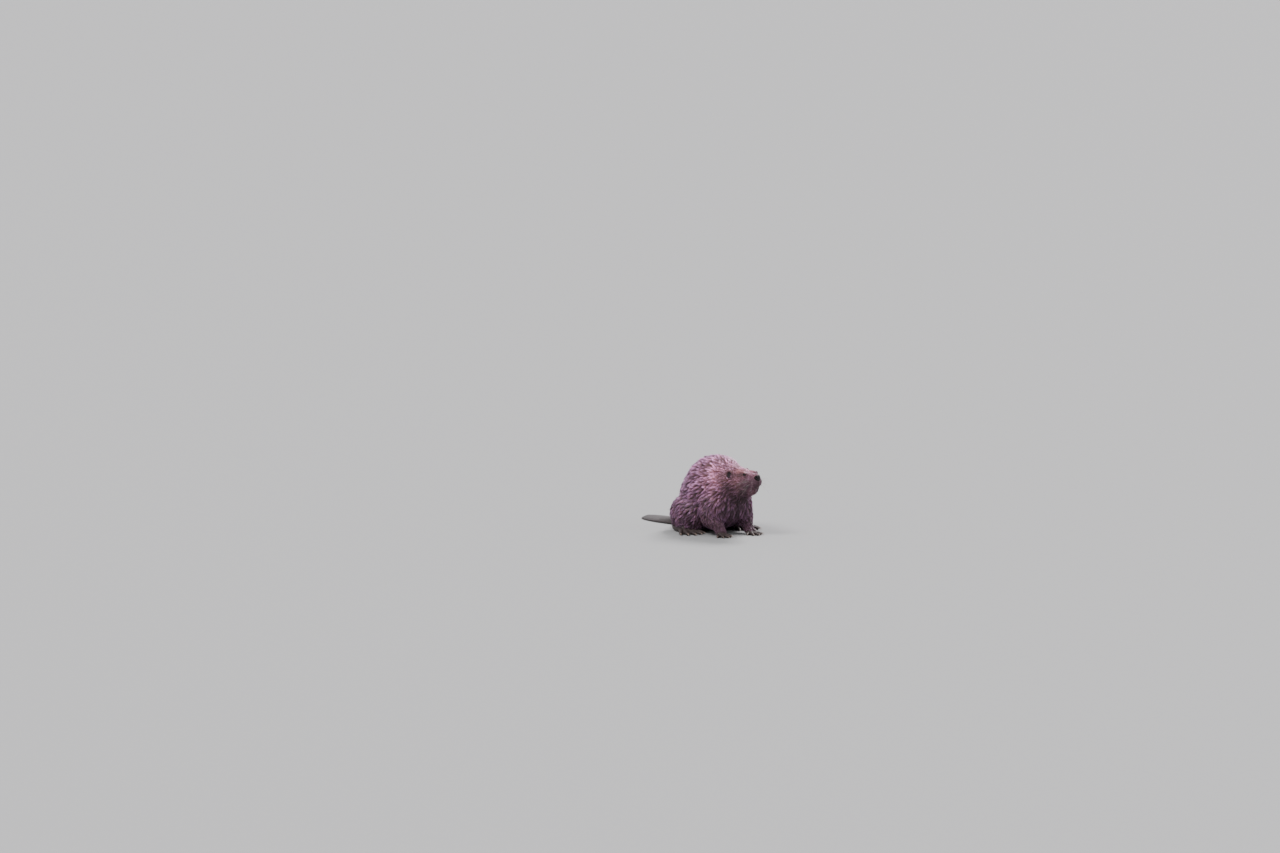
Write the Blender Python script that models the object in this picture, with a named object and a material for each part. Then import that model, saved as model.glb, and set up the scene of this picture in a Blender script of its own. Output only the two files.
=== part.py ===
"""A crouched beaver at life size, as a museum shows it: head, neck, trunk, limbs, tail and claws.

Metres, +Z up. The beaver faces +X and its left side is +Y. It is modelled round its neck joint,
which stands at x = 0, y = 0 over the floor at z = 0, and is then centred on its own box.
The flesh is blocked out in round masses, fused into one skin, and parted with thin cuts.
The outer faces stand where the tips of the coat do.
"""

import math
from dataclasses import dataclass

import bmesh
import bpy
from mathutils import Matrix, Vector

# Driving sizes, in metres.
HEAD_TURN = math.radians(14.0)  # towards its own left
EYE_RADIUS = 0.0062
EAR_HEIGHT = 0.033
TAIL_LENGTH = 0.245  # the bare, scaly paddle
TAIL_WIDTH = 0.118

GAP = 0.0003  # between two solids that touch
WHOLE_VOXEL, HEAD_VOXEL = 0.0031, 0.0019
WHOLE_TRIANGLES = 3000
FINEST_SHARE, FINE_FACTOR = 0.8, 0.005  # how much finer the face is kept than the trunk
SIDES = {"left": 1.0, "right": -1.0}

# Round masses of the body: ahead of the neck joint, to the side, up, then half length, width and
# height, and the pitch in degrees, nose up. A mass with a side is made on both sides.
BODY_MASSES = {
    "shoulder_hump": (-0.088, 0.0, 0.166, 0.098, 0.096, 0.115, -6.0),
    "barrel": (-0.120, 0.0, 0.142, 0.116, 0.110, 0.134, 0.0),
    "belly": (-0.125, 0.0, 0.092, 0.136, 0.112, 0.084, 0.0),
    "chest": (-0.026, 0.0, 0.136, 0.072, 0.086, 0.098, 0.0),
    "loin": (-0.158, 0.0, 0.132, 0.098, 0.096, 0.120, 4.0),
    "rump": (-0.192, 0.0, 0.108, 0.086, 0.088, 0.110, 12.0),
    "haunch": (-0.164, 0.080, 0.066, 0.094, 0.056, 0.073, 8.0),
    "neck": (0.000, 0.0, 0.184, 0.078, 0.070, 0.070, -20.0),
    "throat": (0.018, 0.0, 0.150, 0.056, 0.052, 0.046, 0.0),
    "shoulder": (-0.036, 0.052, 0.106, 0.060, 0.042, 0.070, 10.0),
}
# The same for the head, along its own turned axis.
HEAD_MASSES = {
    "cranium": (0.040, 0.0, 0.2000, 0.064, 0.050, 0.0455, -6.0),
    "cheek": (0.050, 0.0290, 0.1790, 0.048, 0.0300, 0.0400, 0.0),
    "temple": (0.068, 0.0180, 0.2060, 0.040, 0.0260, 0.0300, -10.0),
    "muzzle": (0.0875, 0.0, 0.2000, 0.0405, 0.0330, 0.0315, -8.0),
    "bridge": (0.0955, 0.0, 0.2105, 0.0340, 0.0220, 0.0180, -11.0),
    "lip_pad": (0.1030, 0.0150, 0.1985, 0.0215, 0.0190, 0.0200, -6.0),
    "nose": (0.1165, 0.0, 0.2165, 0.0145, 0.0180, 0.0140, -10.0),
    "jaw": (0.071, 0.0, 0.1670, 0.040, 0.0290, 0.0240, 6.0),
    "chin": (0.0930, 0.0, 0.1635, 0.0175, 0.0185, 0.0150, 0.0),
    "brow": (0.0790, 0.0240, 0.2275, 0.0200, 0.0110, 0.0090, -12.0),
    "eye_bed": (0.0850, 0.0235, 0.2235, 0.0170, 0.0105, 0.0100, 0.0),
}
EYE_AT = (0.0872, 0.0300, 0.2265)  # ahead, to the side, up
NOSTRIL_AT = (0.1262, 0.0115, 0.2195)
NOSTRIL_HALF, NOSTRIL_TURN = (0.0050, 0.0034, 0.0042), 0.6
EAR_AT = (0.0320, 0.0497, 0.2240)
EAR_HALF = (0.0062, 0.0122, EAR_HEIGHT / 2)

EAR_FACING, EAR_LEAN = math.radians(62.0), 14.0  # outwards, and back in degrees
EAR_DISH = 0.80  # the hollow's size, as a share of the ear's

# Joints: ahead, to the side, up, radius with its coat.
FORE_LEG = ((-0.048, 0.066, 0.112, 0.038), (-0.038, 0.074, 0.060, 0.033), (0.004, 0.060, 0.034, 0.021))
TAIL_ROOT = ((-0.255, 0.0, 0.058, 0.052), (-0.300, 0.0, 0.036, 0.035), (-0.352, 0.0, 0.020, 0.0195))
TAIL_ROOT_HALF_WIDTH = 0.031

# The paddle: where its scales begin, how thick it is there, mid way and at its tip.
TAIL_START = -0.340
TAIL_ROOT_THICK, TAIL_THICK, TAIL_EDGE = 0.029, 0.019, 0.0065
TAIL_BEND = 0.012  # how far its tip lies to the left
TAIL_STATIONS, TAIL_SIDES = 13, 16


@dataclass(frozen=True)
class Foot:
    """A bare foot with five toes, counted from the inner side."""

    at: tuple  # where the heel or wrist stands: ahead, to the side
    splay: float  # degrees outwards
    sole: tuple  # heel and instep joints: ahead of the heel, up, radius
    half_width: float  # of the instep, between its two rows of joints
    toe_root: float  # where the middle toe springs, ahead of the heel
    toe_gap: float  # between two toes' roots
    root_arc: float  # how much further back each next toe springs
    reach: float  # of the longest toe
    toe: tuple  # joints: share of the reach, up, radius
    lengths: tuple  # shares of the longest toe
    fan: tuple  # degrees outwards
    web: float  # share of each toe's length that is webbed
    claw_up: float
    claw_length: float
    claw_width: float
    voxel: float
    triangles: int


FEET = {
    "hind": Foot(
        at=(-0.205, 0.098),
        splay=9.0,
        sole=((0.0, 0.017, 0.016), (0.038, 0.015, 0.017), (0.066, 0.0125, 0.0135)),
        half_width=0.008,
        toe_root=0.063,
        toe_gap=0.0088,
        root_arc=0.0,
        reach=0.087,
        toe=((0.0, 0.0110, 0.0088), (0.45, 0.0098, 0.0080), (0.72, 0.0088, 0.0076), (1.0, 0.0066, 0.0060)),
        lengths=(0.74, 0.90, 1.00, 0.97, 0.80),
        fan=(-21.0, -10.0, 1.0, 12.0, 23.0),
        web=0.86,
        claw_up=0.0072,
        claw_length=0.0195,
        claw_width=0.0078,
        voxel=0.0020,
        triangles=440,
    ),
    "fore": Foot(
        at=(0.006, 0.060),
        splay=4.0,
        sole=((0.0, 0.030, 0.0150), (0.012, 0.018, 0.0145), (0.028, 0.0100, 0.0100)),
        half_width=0.0065,
        toe_root=0.025,
        toe_gap=0.0062,
        root_arc=0.0025,
        reach=0.038,
        toe=((0.0, 0.0090, 0.0062), (0.5, 0.0082, 0.0056), (1.0, 0.0056, 0.0048)),
        lengths=(0.52, 0.88, 1.00, 0.94, 0.72),
        fan=(-40.0, -17.0, -1.0, 15.0, 36.0),
        web=0.0,
        claw_up=0.0064,
        claw_length=0.0150,
        claw_width=0.0046,
        voxel=0.0016,
        triangles=270,
    ),
}
WEB_THICK, WEB_SCALLOP = 0.0038, 0.09
SINK = 0.0012  # how far the soles are pressed into the floor before they are trimmed flat
FOOT_ROOM = 2.5 * GAP  # what a leg or claw keeps clear of its foot
# A claw's stations: share of its length ahead of the toe's tip, rise, share of its width.
CLAW = ((-0.30, 0.0, 1.0), (0.25, 0.0011, 0.95), (0.65, 0.0003, 0.62), (1.0, -0.0026, 0.18))

FLOOR = (Vector((0.0, 0.0, 0.0)), Vector((0.0, 0.0, -1.0)))

# Planes that part the flesh, along the head's axis: a place on each and the way it faces.
CUTS = {
    "collar": ((0.018, 0.0, 0.190), (0.94, 0.0, 0.36)),
    "base": ((-0.010, 0.0, 0.180), (0.85, 0.0, 0.53)),
    "chin": ((0.038, 0.0, 0.138), (0.10, 0.0, 1.0)),
    "rear": ((-0.276, 0.0, 0.050), (-1.0, 0.0, 0.0)),
    "scales": ((TAIL_START, 0.0, 0.0), (-1.0, 0.0, 0.0)),
}
FRONT_CUTS = ("collar", "base", "chin")  # these turn with the head
# What of the flesh is leg: the lowest and highest corner on the left side.
LIMB_BOXES = {
    "hind_leg": ((-0.270, 0.074, -0.010), (-0.058, 0.200, 0.118)),
    "fore_leg": ((-0.0570, 0.024, -0.010), (0.080, 0.140, 0.078)),
}

MATERIALS = {
    "coat": ((0.155, 0.095, 0.072), 0.62),
    "hide": ((0.045, 0.036, 0.034), 0.55),
    "tail_hide": ((0.060, 0.053, 0.052), 0.48),
    "eye": ((0.010, 0.006, 0.005), 0.08),
    "claw": ((0.075, 0.055, 0.045), 0.38),
}


def clear_scene():
    for obj in list(bpy.data.objects):
        bpy.data.objects.remove(obj, do_unlink=True)


def material(name):
    found = bpy.data.materials.get(name)
    if found:
        return found
    colour, roughness = MATERIALS[name]
    made = bpy.data.materials.new(name)
    made.use_nodes = True
    shader = made.node_tree.nodes["Principled BSDF"]
    shader.inputs["Base Color"].default_value = (*colour, 1.0)
    shader.inputs["Roughness"].default_value = roughness
    shader.inputs["Metallic"].default_value = 0.0
    return made


def head_point(ahead, side, up):
    """A place on the head, along its turned axis, in the body's frame."""
    return Matrix.Rotation(HEAD_TURN, 4, "Z") @ Vector((ahead, side, up))


def object_of(name, mesh, finish=None, helper=False):
    obj = bpy.data.objects.new(name, mesh)
    bpy.context.scene.collection.objects.link(obj)
    if finish:
        mesh.materials.clear()
        mesh.materials.append(material(finish))
    if helper:
        obj.hide_render = True
        obj.display_type = "WIRE"
    return obj


def mesh_of(bm, name):
    mesh = bpy.data.meshes.new(name)
    bm.to_mesh(mesh)
    bm.free()
    return mesh


def evaluated(obj, name):
    """The object's mesh as its modifiers leave it, as a new mesh."""
    graph = bpy.context.evaluated_depsgraph_get()
    graph.update()
    made = bpy.data.meshes.new_from_object(obj.evaluated_get(graph))
    made.name = name
    return made


def add_ball(bm, at, half, pitch=0.0, turn=0.0, rings=20):
    """An ellipsoid of those half sizes, pitched nose up and turned left, in degrees and radians."""
    place = (
        Matrix.Translation(at)
        @ Matrix.Rotation(turn, 4, "Z")
        @ Matrix.Rotation(-math.radians(pitch), 4, "Y")
        @ Matrix.Diagonal((*half, 1.0))
    )
    bmesh.ops.create_uvsphere(bm, u_segments=2 * rings, v_segments=rings, radius=1.0, matrix=place)


def add_limb(bm, joints, rings=10):
    """A round limb through joints of (x, y, z, radius): each two are wrapped in one tapered skin."""
    for start, end in zip(joints, joints[1:]):
        piece = bmesh.new()
        for x, y, z, radius in (start, end):
            place = Matrix.Translation((x, y, z))
            bmesh.ops.create_uvsphere(
                piece, u_segments=2 * rings, v_segments=rings, radius=radius, matrix=place
            )
        wrapped = bmesh.ops.convex_hull(piece, input=piece.verts)
        bmesh.ops.delete(piece, geom=wrapped["geom_interior"], context="VERTS")
        mesh = mesh_of(piece, "limb")
        bm.from_mesh(mesh)
        bpy.data.meshes.remove(mesh)


def fused(bm, name, voxel, smooth_steps, factor=0.5):
    """One closed skin round all that bm holds: a voxel remesh, smoothed."""
    obj = object_of(name, mesh_of(bm, name))
    remesh = obj.modifiers.new("fuse", "REMESH")
    remesh.mode = "VOXEL"
    remesh.voxel_size = voxel
    smooth = obj.modifiers.new("smooth", "SMOOTH")
    smooth.factor = factor
    smooth.iterations = smooth_steps
    mesh = evaluated(obj, name)
    bpy.data.objects.remove(obj)
    return mesh


def thinned(mesh, name, triangles, keep_weight=None):
    """mesh with about that many triangles. keep_weight(point) from 0 to 1 says how finely to keep it."""
    obj = object_of(name, mesh)
    decimate = obj.modifiers.new("thin", "DECIMATE")
    decimate.ratio = triangles / (2.0 * len(mesh.polygons))
    if keep_weight:
        group = obj.vertex_groups.new(name="loose")
        for vertex in mesh.vertices:
            group.add([vertex.index], 1.0 - FINEST_SHARE * keep_weight(vertex.co), "REPLACE")
        decimate.vertex_group = "loose"
        decimate.vertex_group_factor = FINE_FACTOR
    made = evaluated(obj, name)
    bpy.data.objects.remove(obj)
    return made


def box_cutter(name, low, high):
    bm = bmesh.new()
    size = Vector(high) - Vector(low)
    middle = (Vector(high) + Vector(low)) / 2
    bmesh.ops.create_cube(bm, size=1.0, matrix=Matrix.Translation(middle) @ Matrix.Diagonal((*size, 1.0)))
    return object_of(name, mesh_of(bm, name), helper=True)


def boolean(obj, cutter, operation):
    modifier = obj.modifiers.new(f"{operation.lower()}_{cutter.name}", "BOOLEAN")
    modifier.operation = operation
    modifier.object = cutter
    modifier.solver = "EXACT"


def bake(obj):
    """Applies the object's modifiers, and returns it."""
    mesh = evaluated(obj, obj.name)
    obj.modifiers.clear()
    obj.data = mesh
    return obj


def grown(obj, name, by=GAP):
    """A helper copy of obj, a little larger on every side, that cuts its room from a neighbour."""
    helper = object_of(name, obj.data.copy(), helper=True)
    push = helper.modifiers.new("grow", "DISPLACE")
    push.mid_level = 0.0
    push.strength = by
    return bake(helper)


def sliced(mesh, planes):
    """A copy of mesh, cut by planes of (point, normal) and closed there. What is ahead of a normal goes."""
    bm = bmesh.new()
    bm.from_mesh(mesh)
    for point, normal in planes:
        cut = bmesh.ops.bisect_plane(
            bm,
            geom=[*bm.verts, *bm.edges, *bm.faces],
            plane_co=point,
            plane_no=normal,
            clear_outer=True,
        )
        edges = [e for e in cut["geom_cut"] if isinstance(e, bmesh.types.BMEdge)]
        bmesh.ops.holes_fill(bm, edges=edges, sides=0)
    bmesh.ops.triangulate(bm, faces=[f for f in bm.faces if len(f.verts) > 4])
    bmesh.ops.recalc_face_normals(bm, faces=bm.faces)
    return mesh_of(bm, mesh.name)


def add_masses(bm, masses, turn):
    """The round masses of a table, along an axis that is turned left."""
    turned = Matrix.Rotation(turn, 4, "Z")
    for ahead, side, up, *half, pitch in masses.values():
        for sign in (1.0, -1.0) if side else (0.0,):
            add_ball(bm, turned @ Vector((ahead, side * sign, up)), half, pitch=pitch, turn=turn)


def whole_flesh():
    """Head, neck, trunk, legs and the furred root of the tail, as one skin that stands on the floor."""
    bm = bmesh.new()
    add_masses(bm, BODY_MASSES, 0.0)
    for sign in SIDES.values():
        add_limb(bm, [(x, y * sign, z, radius) for x, y, z, radius in FORE_LEG])
    for x, y, z, radius in TAIL_ROOT:
        add_ball(bm, (x, y, z), (radius * 1.3, max(radius, TAIL_ROOT_HALF_WIDTH), radius))
    body = fused(bm, "body", WHOLE_VOXEL, smooth_steps=26)

    bm = bmesh.new()
    add_masses(bm, HEAD_MASSES, HEAD_TURN)
    head = fused(bm, "head", HEAD_VOXEL, smooth_steps=14)

    bm = bmesh.new()
    bm.from_mesh(body)
    bm.from_mesh(head)
    whole = fused(bm, "whole", WHOLE_VOXEL * 0.8, smooth_steps=4)
    muzzle = head_point(0.10, 0.0, 0.195)

    def nearness(point):
        """1 within 7 cm of the muzzle, 0 from 13 cm on."""
        return max(0.0, min(1.0, (0.13 - (point - muzzle).length) / 0.06))

    return sliced(thinned(whole, "whole", WHOLE_TRIANGLES, keep_weight=nearness), [FLOOR])


def cut_planes():
    """Name to (place, axis) of each plane in CUTS, in the body's frame."""
    planes = {}
    for name, (place, axis) in CUTS.items():
        turned = Matrix.Rotation(HEAD_TURN if name in FRONT_CUTS else 0.0, 3, "Z")
        planes[name] = (turned @ Vector(place), (turned @ Vector(axis)).normalized())
    return planes


def part_flesh(whole):
    """The whole skin, parted into head, neck, trunk, tail root, hind legs and fore legs."""
    planes = cut_planes()

    def before(name, gap=GAP / 2):
        place, axis = planes[name]
        return place - axis * gap, axis

    def after(name, gap=GAP / 2):
        place, axis = planes[name]
        return place + axis * gap, -axis

    regions = {
        "head": [after("collar"), after("chin")],
        "neck": [after("base"), before("collar"), after("chin")],
        "trunk": [before("rear")],
        "tail_root": [after("rear"), before("scales")],
    }
    flesh = {name: object_of(name, sliced(whole, cuts), "coat") for name, cuts in regions.items()}
    front = box_cutter("front", (-1.0, -1.0, -1.0), (1.0, 1.0, 1.0))
    front.data = sliced(front.data, [after("base", -GAP), after("chin", -GAP)])
    boolean(flesh["trunk"], front, "DIFFERENCE")
    spare = Vector((GAP, GAP, GAP))
    for limb, (low, high) in LIMB_BOXES.items():
        for side, sign in SIDES.items():
            name = f"{limb}_{side}"
            corners = [Vector((x, y * sign, z)) for x, y, z in (low, high)]
            near, far = Vector(map(min, *corners)), Vector(map(max, *corners))
            leg = object_of(name, whole.copy(), "coat")
            boolean(leg, box_cutter(f"{name}_box", near, far), "INTERSECT")
            flesh[name] = bake(leg)
            boolean(flesh["trunk"], box_cutter(f"{name}_room", near - spare, far + spare), "DIFFERENCE")
    bake(flesh["trunk"])
    return flesh


def foot_mesh(foot, sign):
    """(mesh, toe tips): a foot with its sole flat on the floor. A tip is (place, heading, share)."""
    ahead_axis = Matrix.Rotation(math.radians(foot.splay), 2) @ Vector((1.0, 0.0))

    def place(ahead, out, up):
        x = foot.at[0] + ahead * ahead_axis.x - out * ahead_axis.y
        y = foot.at[1] + ahead * ahead_axis.y + out * ahead_axis.x
        return Vector((x, y * sign, up - SINK))

    bm = bmesh.new()
    for out in (-foot.half_width, foot.half_width):
        add_limb(bm, [(*place(ahead, out, up), radius) for ahead, up, radius in foot.sole])
    tips, webs = [], []
    for number, (share, fan) in enumerate(zip(foot.lengths, foot.fan)):
        from_middle = number - 2
        root_ahead = foot.toe_root - abs(from_middle) * foot.root_arc
        root_out = from_middle * foot.toe_gap
        along_ahead = foot.reach * share * math.cos(math.radians(fan))
        along_out = foot.reach * share * math.sin(math.radians(fan))

        def toe_place(along, up):
            return place(root_ahead + along_ahead * along, root_out + along_out * along, up)

        add_limb(bm, [(*toe_place(along, up), radius) for along, up, radius in foot.toe], rings=8)
        webs.append((toe_place(0.0, 0.006), toe_place(foot.web, 0.006)))
        heading = (toe_place(1.0, 0.0) - toe_place(0.0, 0.0)).normalized()
        tips.append((toe_place(1.0, foot.claw_up), heading, share))
    if foot.web:
        for one, two in zip(webs, webs[1:]):
            add_web(bm, one, two)
    mesh = fused(bm, "foot", foot.voxel, smooth_steps=3, factor=0.4)
    return sliced(thinned(mesh, "foot", foot.triangles), [FLOOR]), tips


def add_web(bm, one, two):
    """The skin between two toes, each given as (root, place where the web ends)."""
    ends = (one[1] + two[1]) / 2
    roots = (one[0] + two[0]) / 2
    outline = [one[0], one[1], ends + (roots - ends) * WEB_SCALLOP, two[1], two[0]]
    half = Vector((0.0, 0.0, WEB_THICK / 2))
    lower = [bm.verts.new(point - half) for point in outline]
    upper = [bm.verts.new(point + half) for point in outline]
    faces = [bm.faces.new(upper), bm.faces.new(lower[::-1])]
    for i, j in zip(range(-1, len(outline) - 1), range(len(outline))):
        faces.append(bm.faces.new((lower[i], lower[j], upper[j], upper[i])))
    bmesh.ops.recalc_face_normals(bm, faces=faces)


def claw(name, tip, heading, length, width):
    """A curved, tapered nail that springs from inside the toe's tip."""
    curve = bpy.data.curves.new(name, "CURVE")
    curve.dimensions = "3D"
    curve.bevel_depth = width / 2
    curve.bevel_resolution = 1
    curve.use_fill_caps = True
    spline = curve.splines.new("POLY")
    spline.points.add(len(CLAW) - 1)
    for point, (along, rise, girth) in zip(spline.points, CLAW):
        at = tip + heading * length * along + Vector((0.0, 0.0, rise))
        at.z = max(at.z, width / 2 * girth + GAP)
        point.co = (*at, 1.0)
        point.radius = girth
    guide = object_of(name, curve)
    bm = bmesh.new()
    bm.from_mesh(evaluated(guide, name))
    bpy.data.objects.remove(guide)
    bmesh.ops.remove_doubles(bm, verts=bm.verts, dist=1e-6)
    bmesh.ops.triangulate(bm, faces=bm.faces)
    bmesh.ops.recalc_face_normals(bm, faces=bm.faces)
    return object_of(name, mesh_of(bm, name), "claw")


def feet_and_claws(flesh):
    """Each foot takes its room from the leg and trunk over it, and from its own claws."""
    for kind, foot in FEET.items():
        for side, sign in SIDES.items():
            mesh, tips = foot_mesh(foot, sign)
            solid = object_of(f"{kind}_foot_{side}", mesh, "hide")
            room = grown(solid, f"{solid.name}_room", FOOT_ROOM)
            for over in (flesh["trunk"], flesh[f"{kind}_leg_{side}"]):
                boolean(over, room, "DIFFERENCE")
                bake(over)
            for number, (tip, heading, share) in enumerate(tips, start=1):
                size = (1.0 + share) / 2  # a short toe's claw is short, but less so
                length, width = foot.claw_length * size, foot.claw_width * size
                nail = claw(f"{kind}_claw_{side}_{number}", tip, heading, length, width)
                boolean(nail, room, "DIFFERENCE")
                bake(nail)


def tail_section(along):
    """(half width, thickness) of the paddle at a share of its length."""
    spread = math.sin(math.pi * (0.16 + 0.50 * along)) ** 0.85
    closing = math.sqrt(1.0 - max(0.0, (along - 0.62) / 0.38) ** 2.4)
    thick = TAIL_EDGE + (TAIL_THICK - TAIL_EDGE) * (1.0 - along) ** 0.8
    root = (TAIL_ROOT_THICK - TAIL_THICK) * (1.0 - along) ** 4
    return TAIL_WIDTH / 2 * spread * max(closing, 0.05), thick + root


def tail_paddle():
    """The broad bare tail, lofted from lens-shaped sections: flat below and crowned above."""
    bm = bmesh.new()
    rings = []
    for step in range(TAIL_STATIONS):
        along = math.sin(0.5 * math.pi * step / (TAIL_STATIONS - 1)) ** 1.15
        half_width, thick = tail_section(along)
        ring = []
        for corner in range(TAIL_SIDES):
            angle = 2.0 * math.pi * corner / TAIL_SIDES
            across, rise = math.cos(angle), math.sin(angle)
            lens = 0.30 + 0.70 * abs(rise) ** 1.4
            up = thick * lens * (0.5 + 0.5 * math.copysign(abs(rise) ** 0.55, rise))
            side = half_width * across + TAIL_BEND * along * along
            ring.append(bm.verts.new((TAIL_START - GAP - TAIL_LENGTH * along, side, up)))
        rings.append(ring)
    for one, two in zip(rings, rings[1:]):
        for i in range(-1, TAIL_SIDES - 1):
            bm.faces.new((one[i], one[i + 1], two[i + 1], two[i]))
    bm.faces.new(rings[0])
    bm.faces.new(rings[-1])
    bmesh.ops.triangulate(bm, faces=bm.faces)
    bmesh.ops.recalc_face_normals(bm, faces=bm.faces)
    return object_of("tail_paddle", mesh_of(bm, "tail_paddle"), "tail_hide")


def ball(name, at, half, finish=None, **pose):
    """A node, or a cutter where no finish is given, that is one ellipsoid."""
    bm = bmesh.new()
    add_ball(bm, at, half, **pose)
    return object_of(name, mesh_of(bm, name), finish, helper=finish is None)


def eye_and_nostril(head, side, sign):
    ahead, out, up = EYE_AT
    at = head_point(ahead, out * sign, up)
    ball(f"eye_{side}", at, [EYE_RADIUS] * 3, "eye", rings=6)
    boolean(head, ball(f"socket_{side}", at, [EYE_RADIUS + GAP] * 3, rings=6), "DIFFERENCE")
    ahead, out, up = NOSTRIL_AT
    at = head_point(ahead, out * sign, up)
    turn = HEAD_TURN + NOSTRIL_TURN * sign
    boolean(head, ball(f"nostril_{side}", at, NOSTRIL_HALF, turn=turn, rings=5), "DIFFERENCE")


def ear(side, sign, head_room):
    """A round cupped ear, hollow ahead and outwards, cut to the head it stands on."""
    ahead, out, up = EAR_AT
    at = head_point(ahead, out * sign, up)
    pose = {"pitch": EAR_LEAN, "turn": HEAD_TURN + EAR_FACING * sign, "rings": 7}
    outward = Matrix.Rotation(pose["turn"], 3, "Z") @ Vector((1.0, 0.0, 0.0))
    shell = ball(f"ear_{side}", at, EAR_HALF, "coat", **pose)
    hollow = [half * EAR_DISH for half in EAR_HALF]
    dish = ball(f"ear_dish_{side}", at + outward * hollow[0], hollow, **pose)
    boolean(shell, dish, "DIFFERENCE")
    boolean(shell, head_room, "DIFFERENCE")
    bake(shell)


def nodes():
    return [o for o in bpy.data.objects if o.type == "MESH" and not o.hide_render]


def centre_on_floor():
    """Moves every node so that the origin is the middle of the model's box, at its bottom."""
    corners = [v.co for node in nodes() for v in node.data.vertices]
    low = [min(c[i] for c in corners) for i in range(3)]
    high = [max(c[i] for c in corners) for i in range(3)]
    shift = Matrix.Translation((-(low[0] + high[0]) / 2, -(low[1] + high[1]) / 2, -low[2]))
    for node in nodes():
        node.data.transform(shift)


def main():
    clear_scene()
    whole = whole_flesh()
    flesh = part_flesh(whole)
    feet_and_claws(flesh)
    tail_paddle()
    head_room = grown(object_of("whole", whole, helper=True), "whole_room")
    for side, sign in SIDES.items():
        eye_and_nostril(flesh["head"], side, sign)
        ear(side, sign, head_room)
    bake(flesh["head"])
    centre_on_floor()
    for node in nodes():
        node.data.shade_smooth()
        node.data.set_sharp_from_angle(angle=math.radians(50.0))


main()
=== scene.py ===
"""A life-size beaver: skin, wet coat, eyes, whiskers, claws and scaly tail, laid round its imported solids.

Each operator makes one kind of piece. All lengths are in metres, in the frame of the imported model, except
in the coat tables, which are in millimetres.
"""

import math
from functools import lru_cache

import bmesh
import bpy
import numpy as np
from mathutils import Matrix, Vector
from mathutils.bvhtree import BVHTree
from mathutils.kdtree import KDTree


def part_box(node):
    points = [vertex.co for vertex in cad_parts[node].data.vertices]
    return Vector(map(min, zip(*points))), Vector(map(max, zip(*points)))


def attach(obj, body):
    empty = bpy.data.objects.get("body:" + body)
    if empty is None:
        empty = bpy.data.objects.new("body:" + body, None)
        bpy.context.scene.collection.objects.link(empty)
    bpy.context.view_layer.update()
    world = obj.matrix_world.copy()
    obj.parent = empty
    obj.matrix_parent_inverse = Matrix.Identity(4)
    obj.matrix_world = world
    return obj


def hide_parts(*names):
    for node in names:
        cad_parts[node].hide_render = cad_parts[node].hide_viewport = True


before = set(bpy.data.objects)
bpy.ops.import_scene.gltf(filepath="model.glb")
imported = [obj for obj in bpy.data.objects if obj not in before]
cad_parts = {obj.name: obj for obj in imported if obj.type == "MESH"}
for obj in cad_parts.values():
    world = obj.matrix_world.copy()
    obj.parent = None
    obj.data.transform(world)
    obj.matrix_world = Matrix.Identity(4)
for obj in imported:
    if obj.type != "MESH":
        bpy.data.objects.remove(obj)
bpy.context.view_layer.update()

bl_info = {
    "name": "Beaver",
    "version": (1, 0, 0),
    "blender": (4, 5, 0),
    "location": "View3D > Sidebar > Beaver",
    "description": "Dresses the solids of a life-size beaver in skin, fur, scales, claws and whiskers",
    "category": "Add Mesh",
}

SIDES = {"left": 1.0, "right": -1.0}
FLESH = [
    "head", "neck", "trunk", "tail_root", "tail_paddle",
    *(f"{limb}_{side}" for limb in ("fore_leg", "hind_leg") for side in SIDES),
]
FEET_NODES = [f"{kind}_foot_{side}" for kind in ("fore", "hind") for side in SIDES]
EAR_NODES = [f"ear_{side}" for side in SIDES]

# The head is turned to its own left about an upright line through the neck.
HEAD_TURN = math.radians(14.0)
EYE_AT = np.array((0.0872, 0.0300, 0.2265))  # ahead of that line, to the side, above the floor
EYE_RADIUS = 0.0062
AHEAD = np.array((math.cos(HEAD_TURN), math.sin(HEAD_TURN), 0.0))
LEFT = np.array((-math.sin(HEAD_TURN), math.cos(HEAD_TURN), 0.0))
UP = np.array((0.0, 0.0, 1.0))
EYES = {side: np.array(sum(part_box(f"eye_{side}"), Vector())) / 2 for side in SIDES}
NECK = sum(EYES.values()) / 2 - AHEAD * EYE_AT[0] - UP * EYE_AT[2]

SEAM_GROWTH = 0.0004  # how far the solids are grown to close the gaps between them
SKIN_VOXEL = 0.0013
COARSE_TRIANGLES = 46000.0  # about how many triangles of skin the coat hides
FUR_STARTS = (0.000, 0.008)  # how far from bare skin the coat begins and is full
TAIL_FUR_ENDS = 0.010  # how far the coat reaches over the paddle's first scales
PALM_UP, PALM_REACH = 0.005, 0.004  # the fore feet are bare below this height, this near the palm
INSET = 0.92  # how much of the coat's thickness the skin is sunk by

# Where the skin keeps its full detail: round the muzzle, the ears and the feet. Round the eyes it is halved
# twice, and once on the nose, ahead of the first number and between the other two in height.
MUZZLE_AT, FACE_REACH = (0.094, 0.0, 0.200), 0.060
EAR_REACH, FEET_MARGIN = 0.019, 0.002
EYE_DETAIL = (0.0140, 0.0110)
NOSE_DETAIL = (0.105, 0.17, 0.233)

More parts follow.
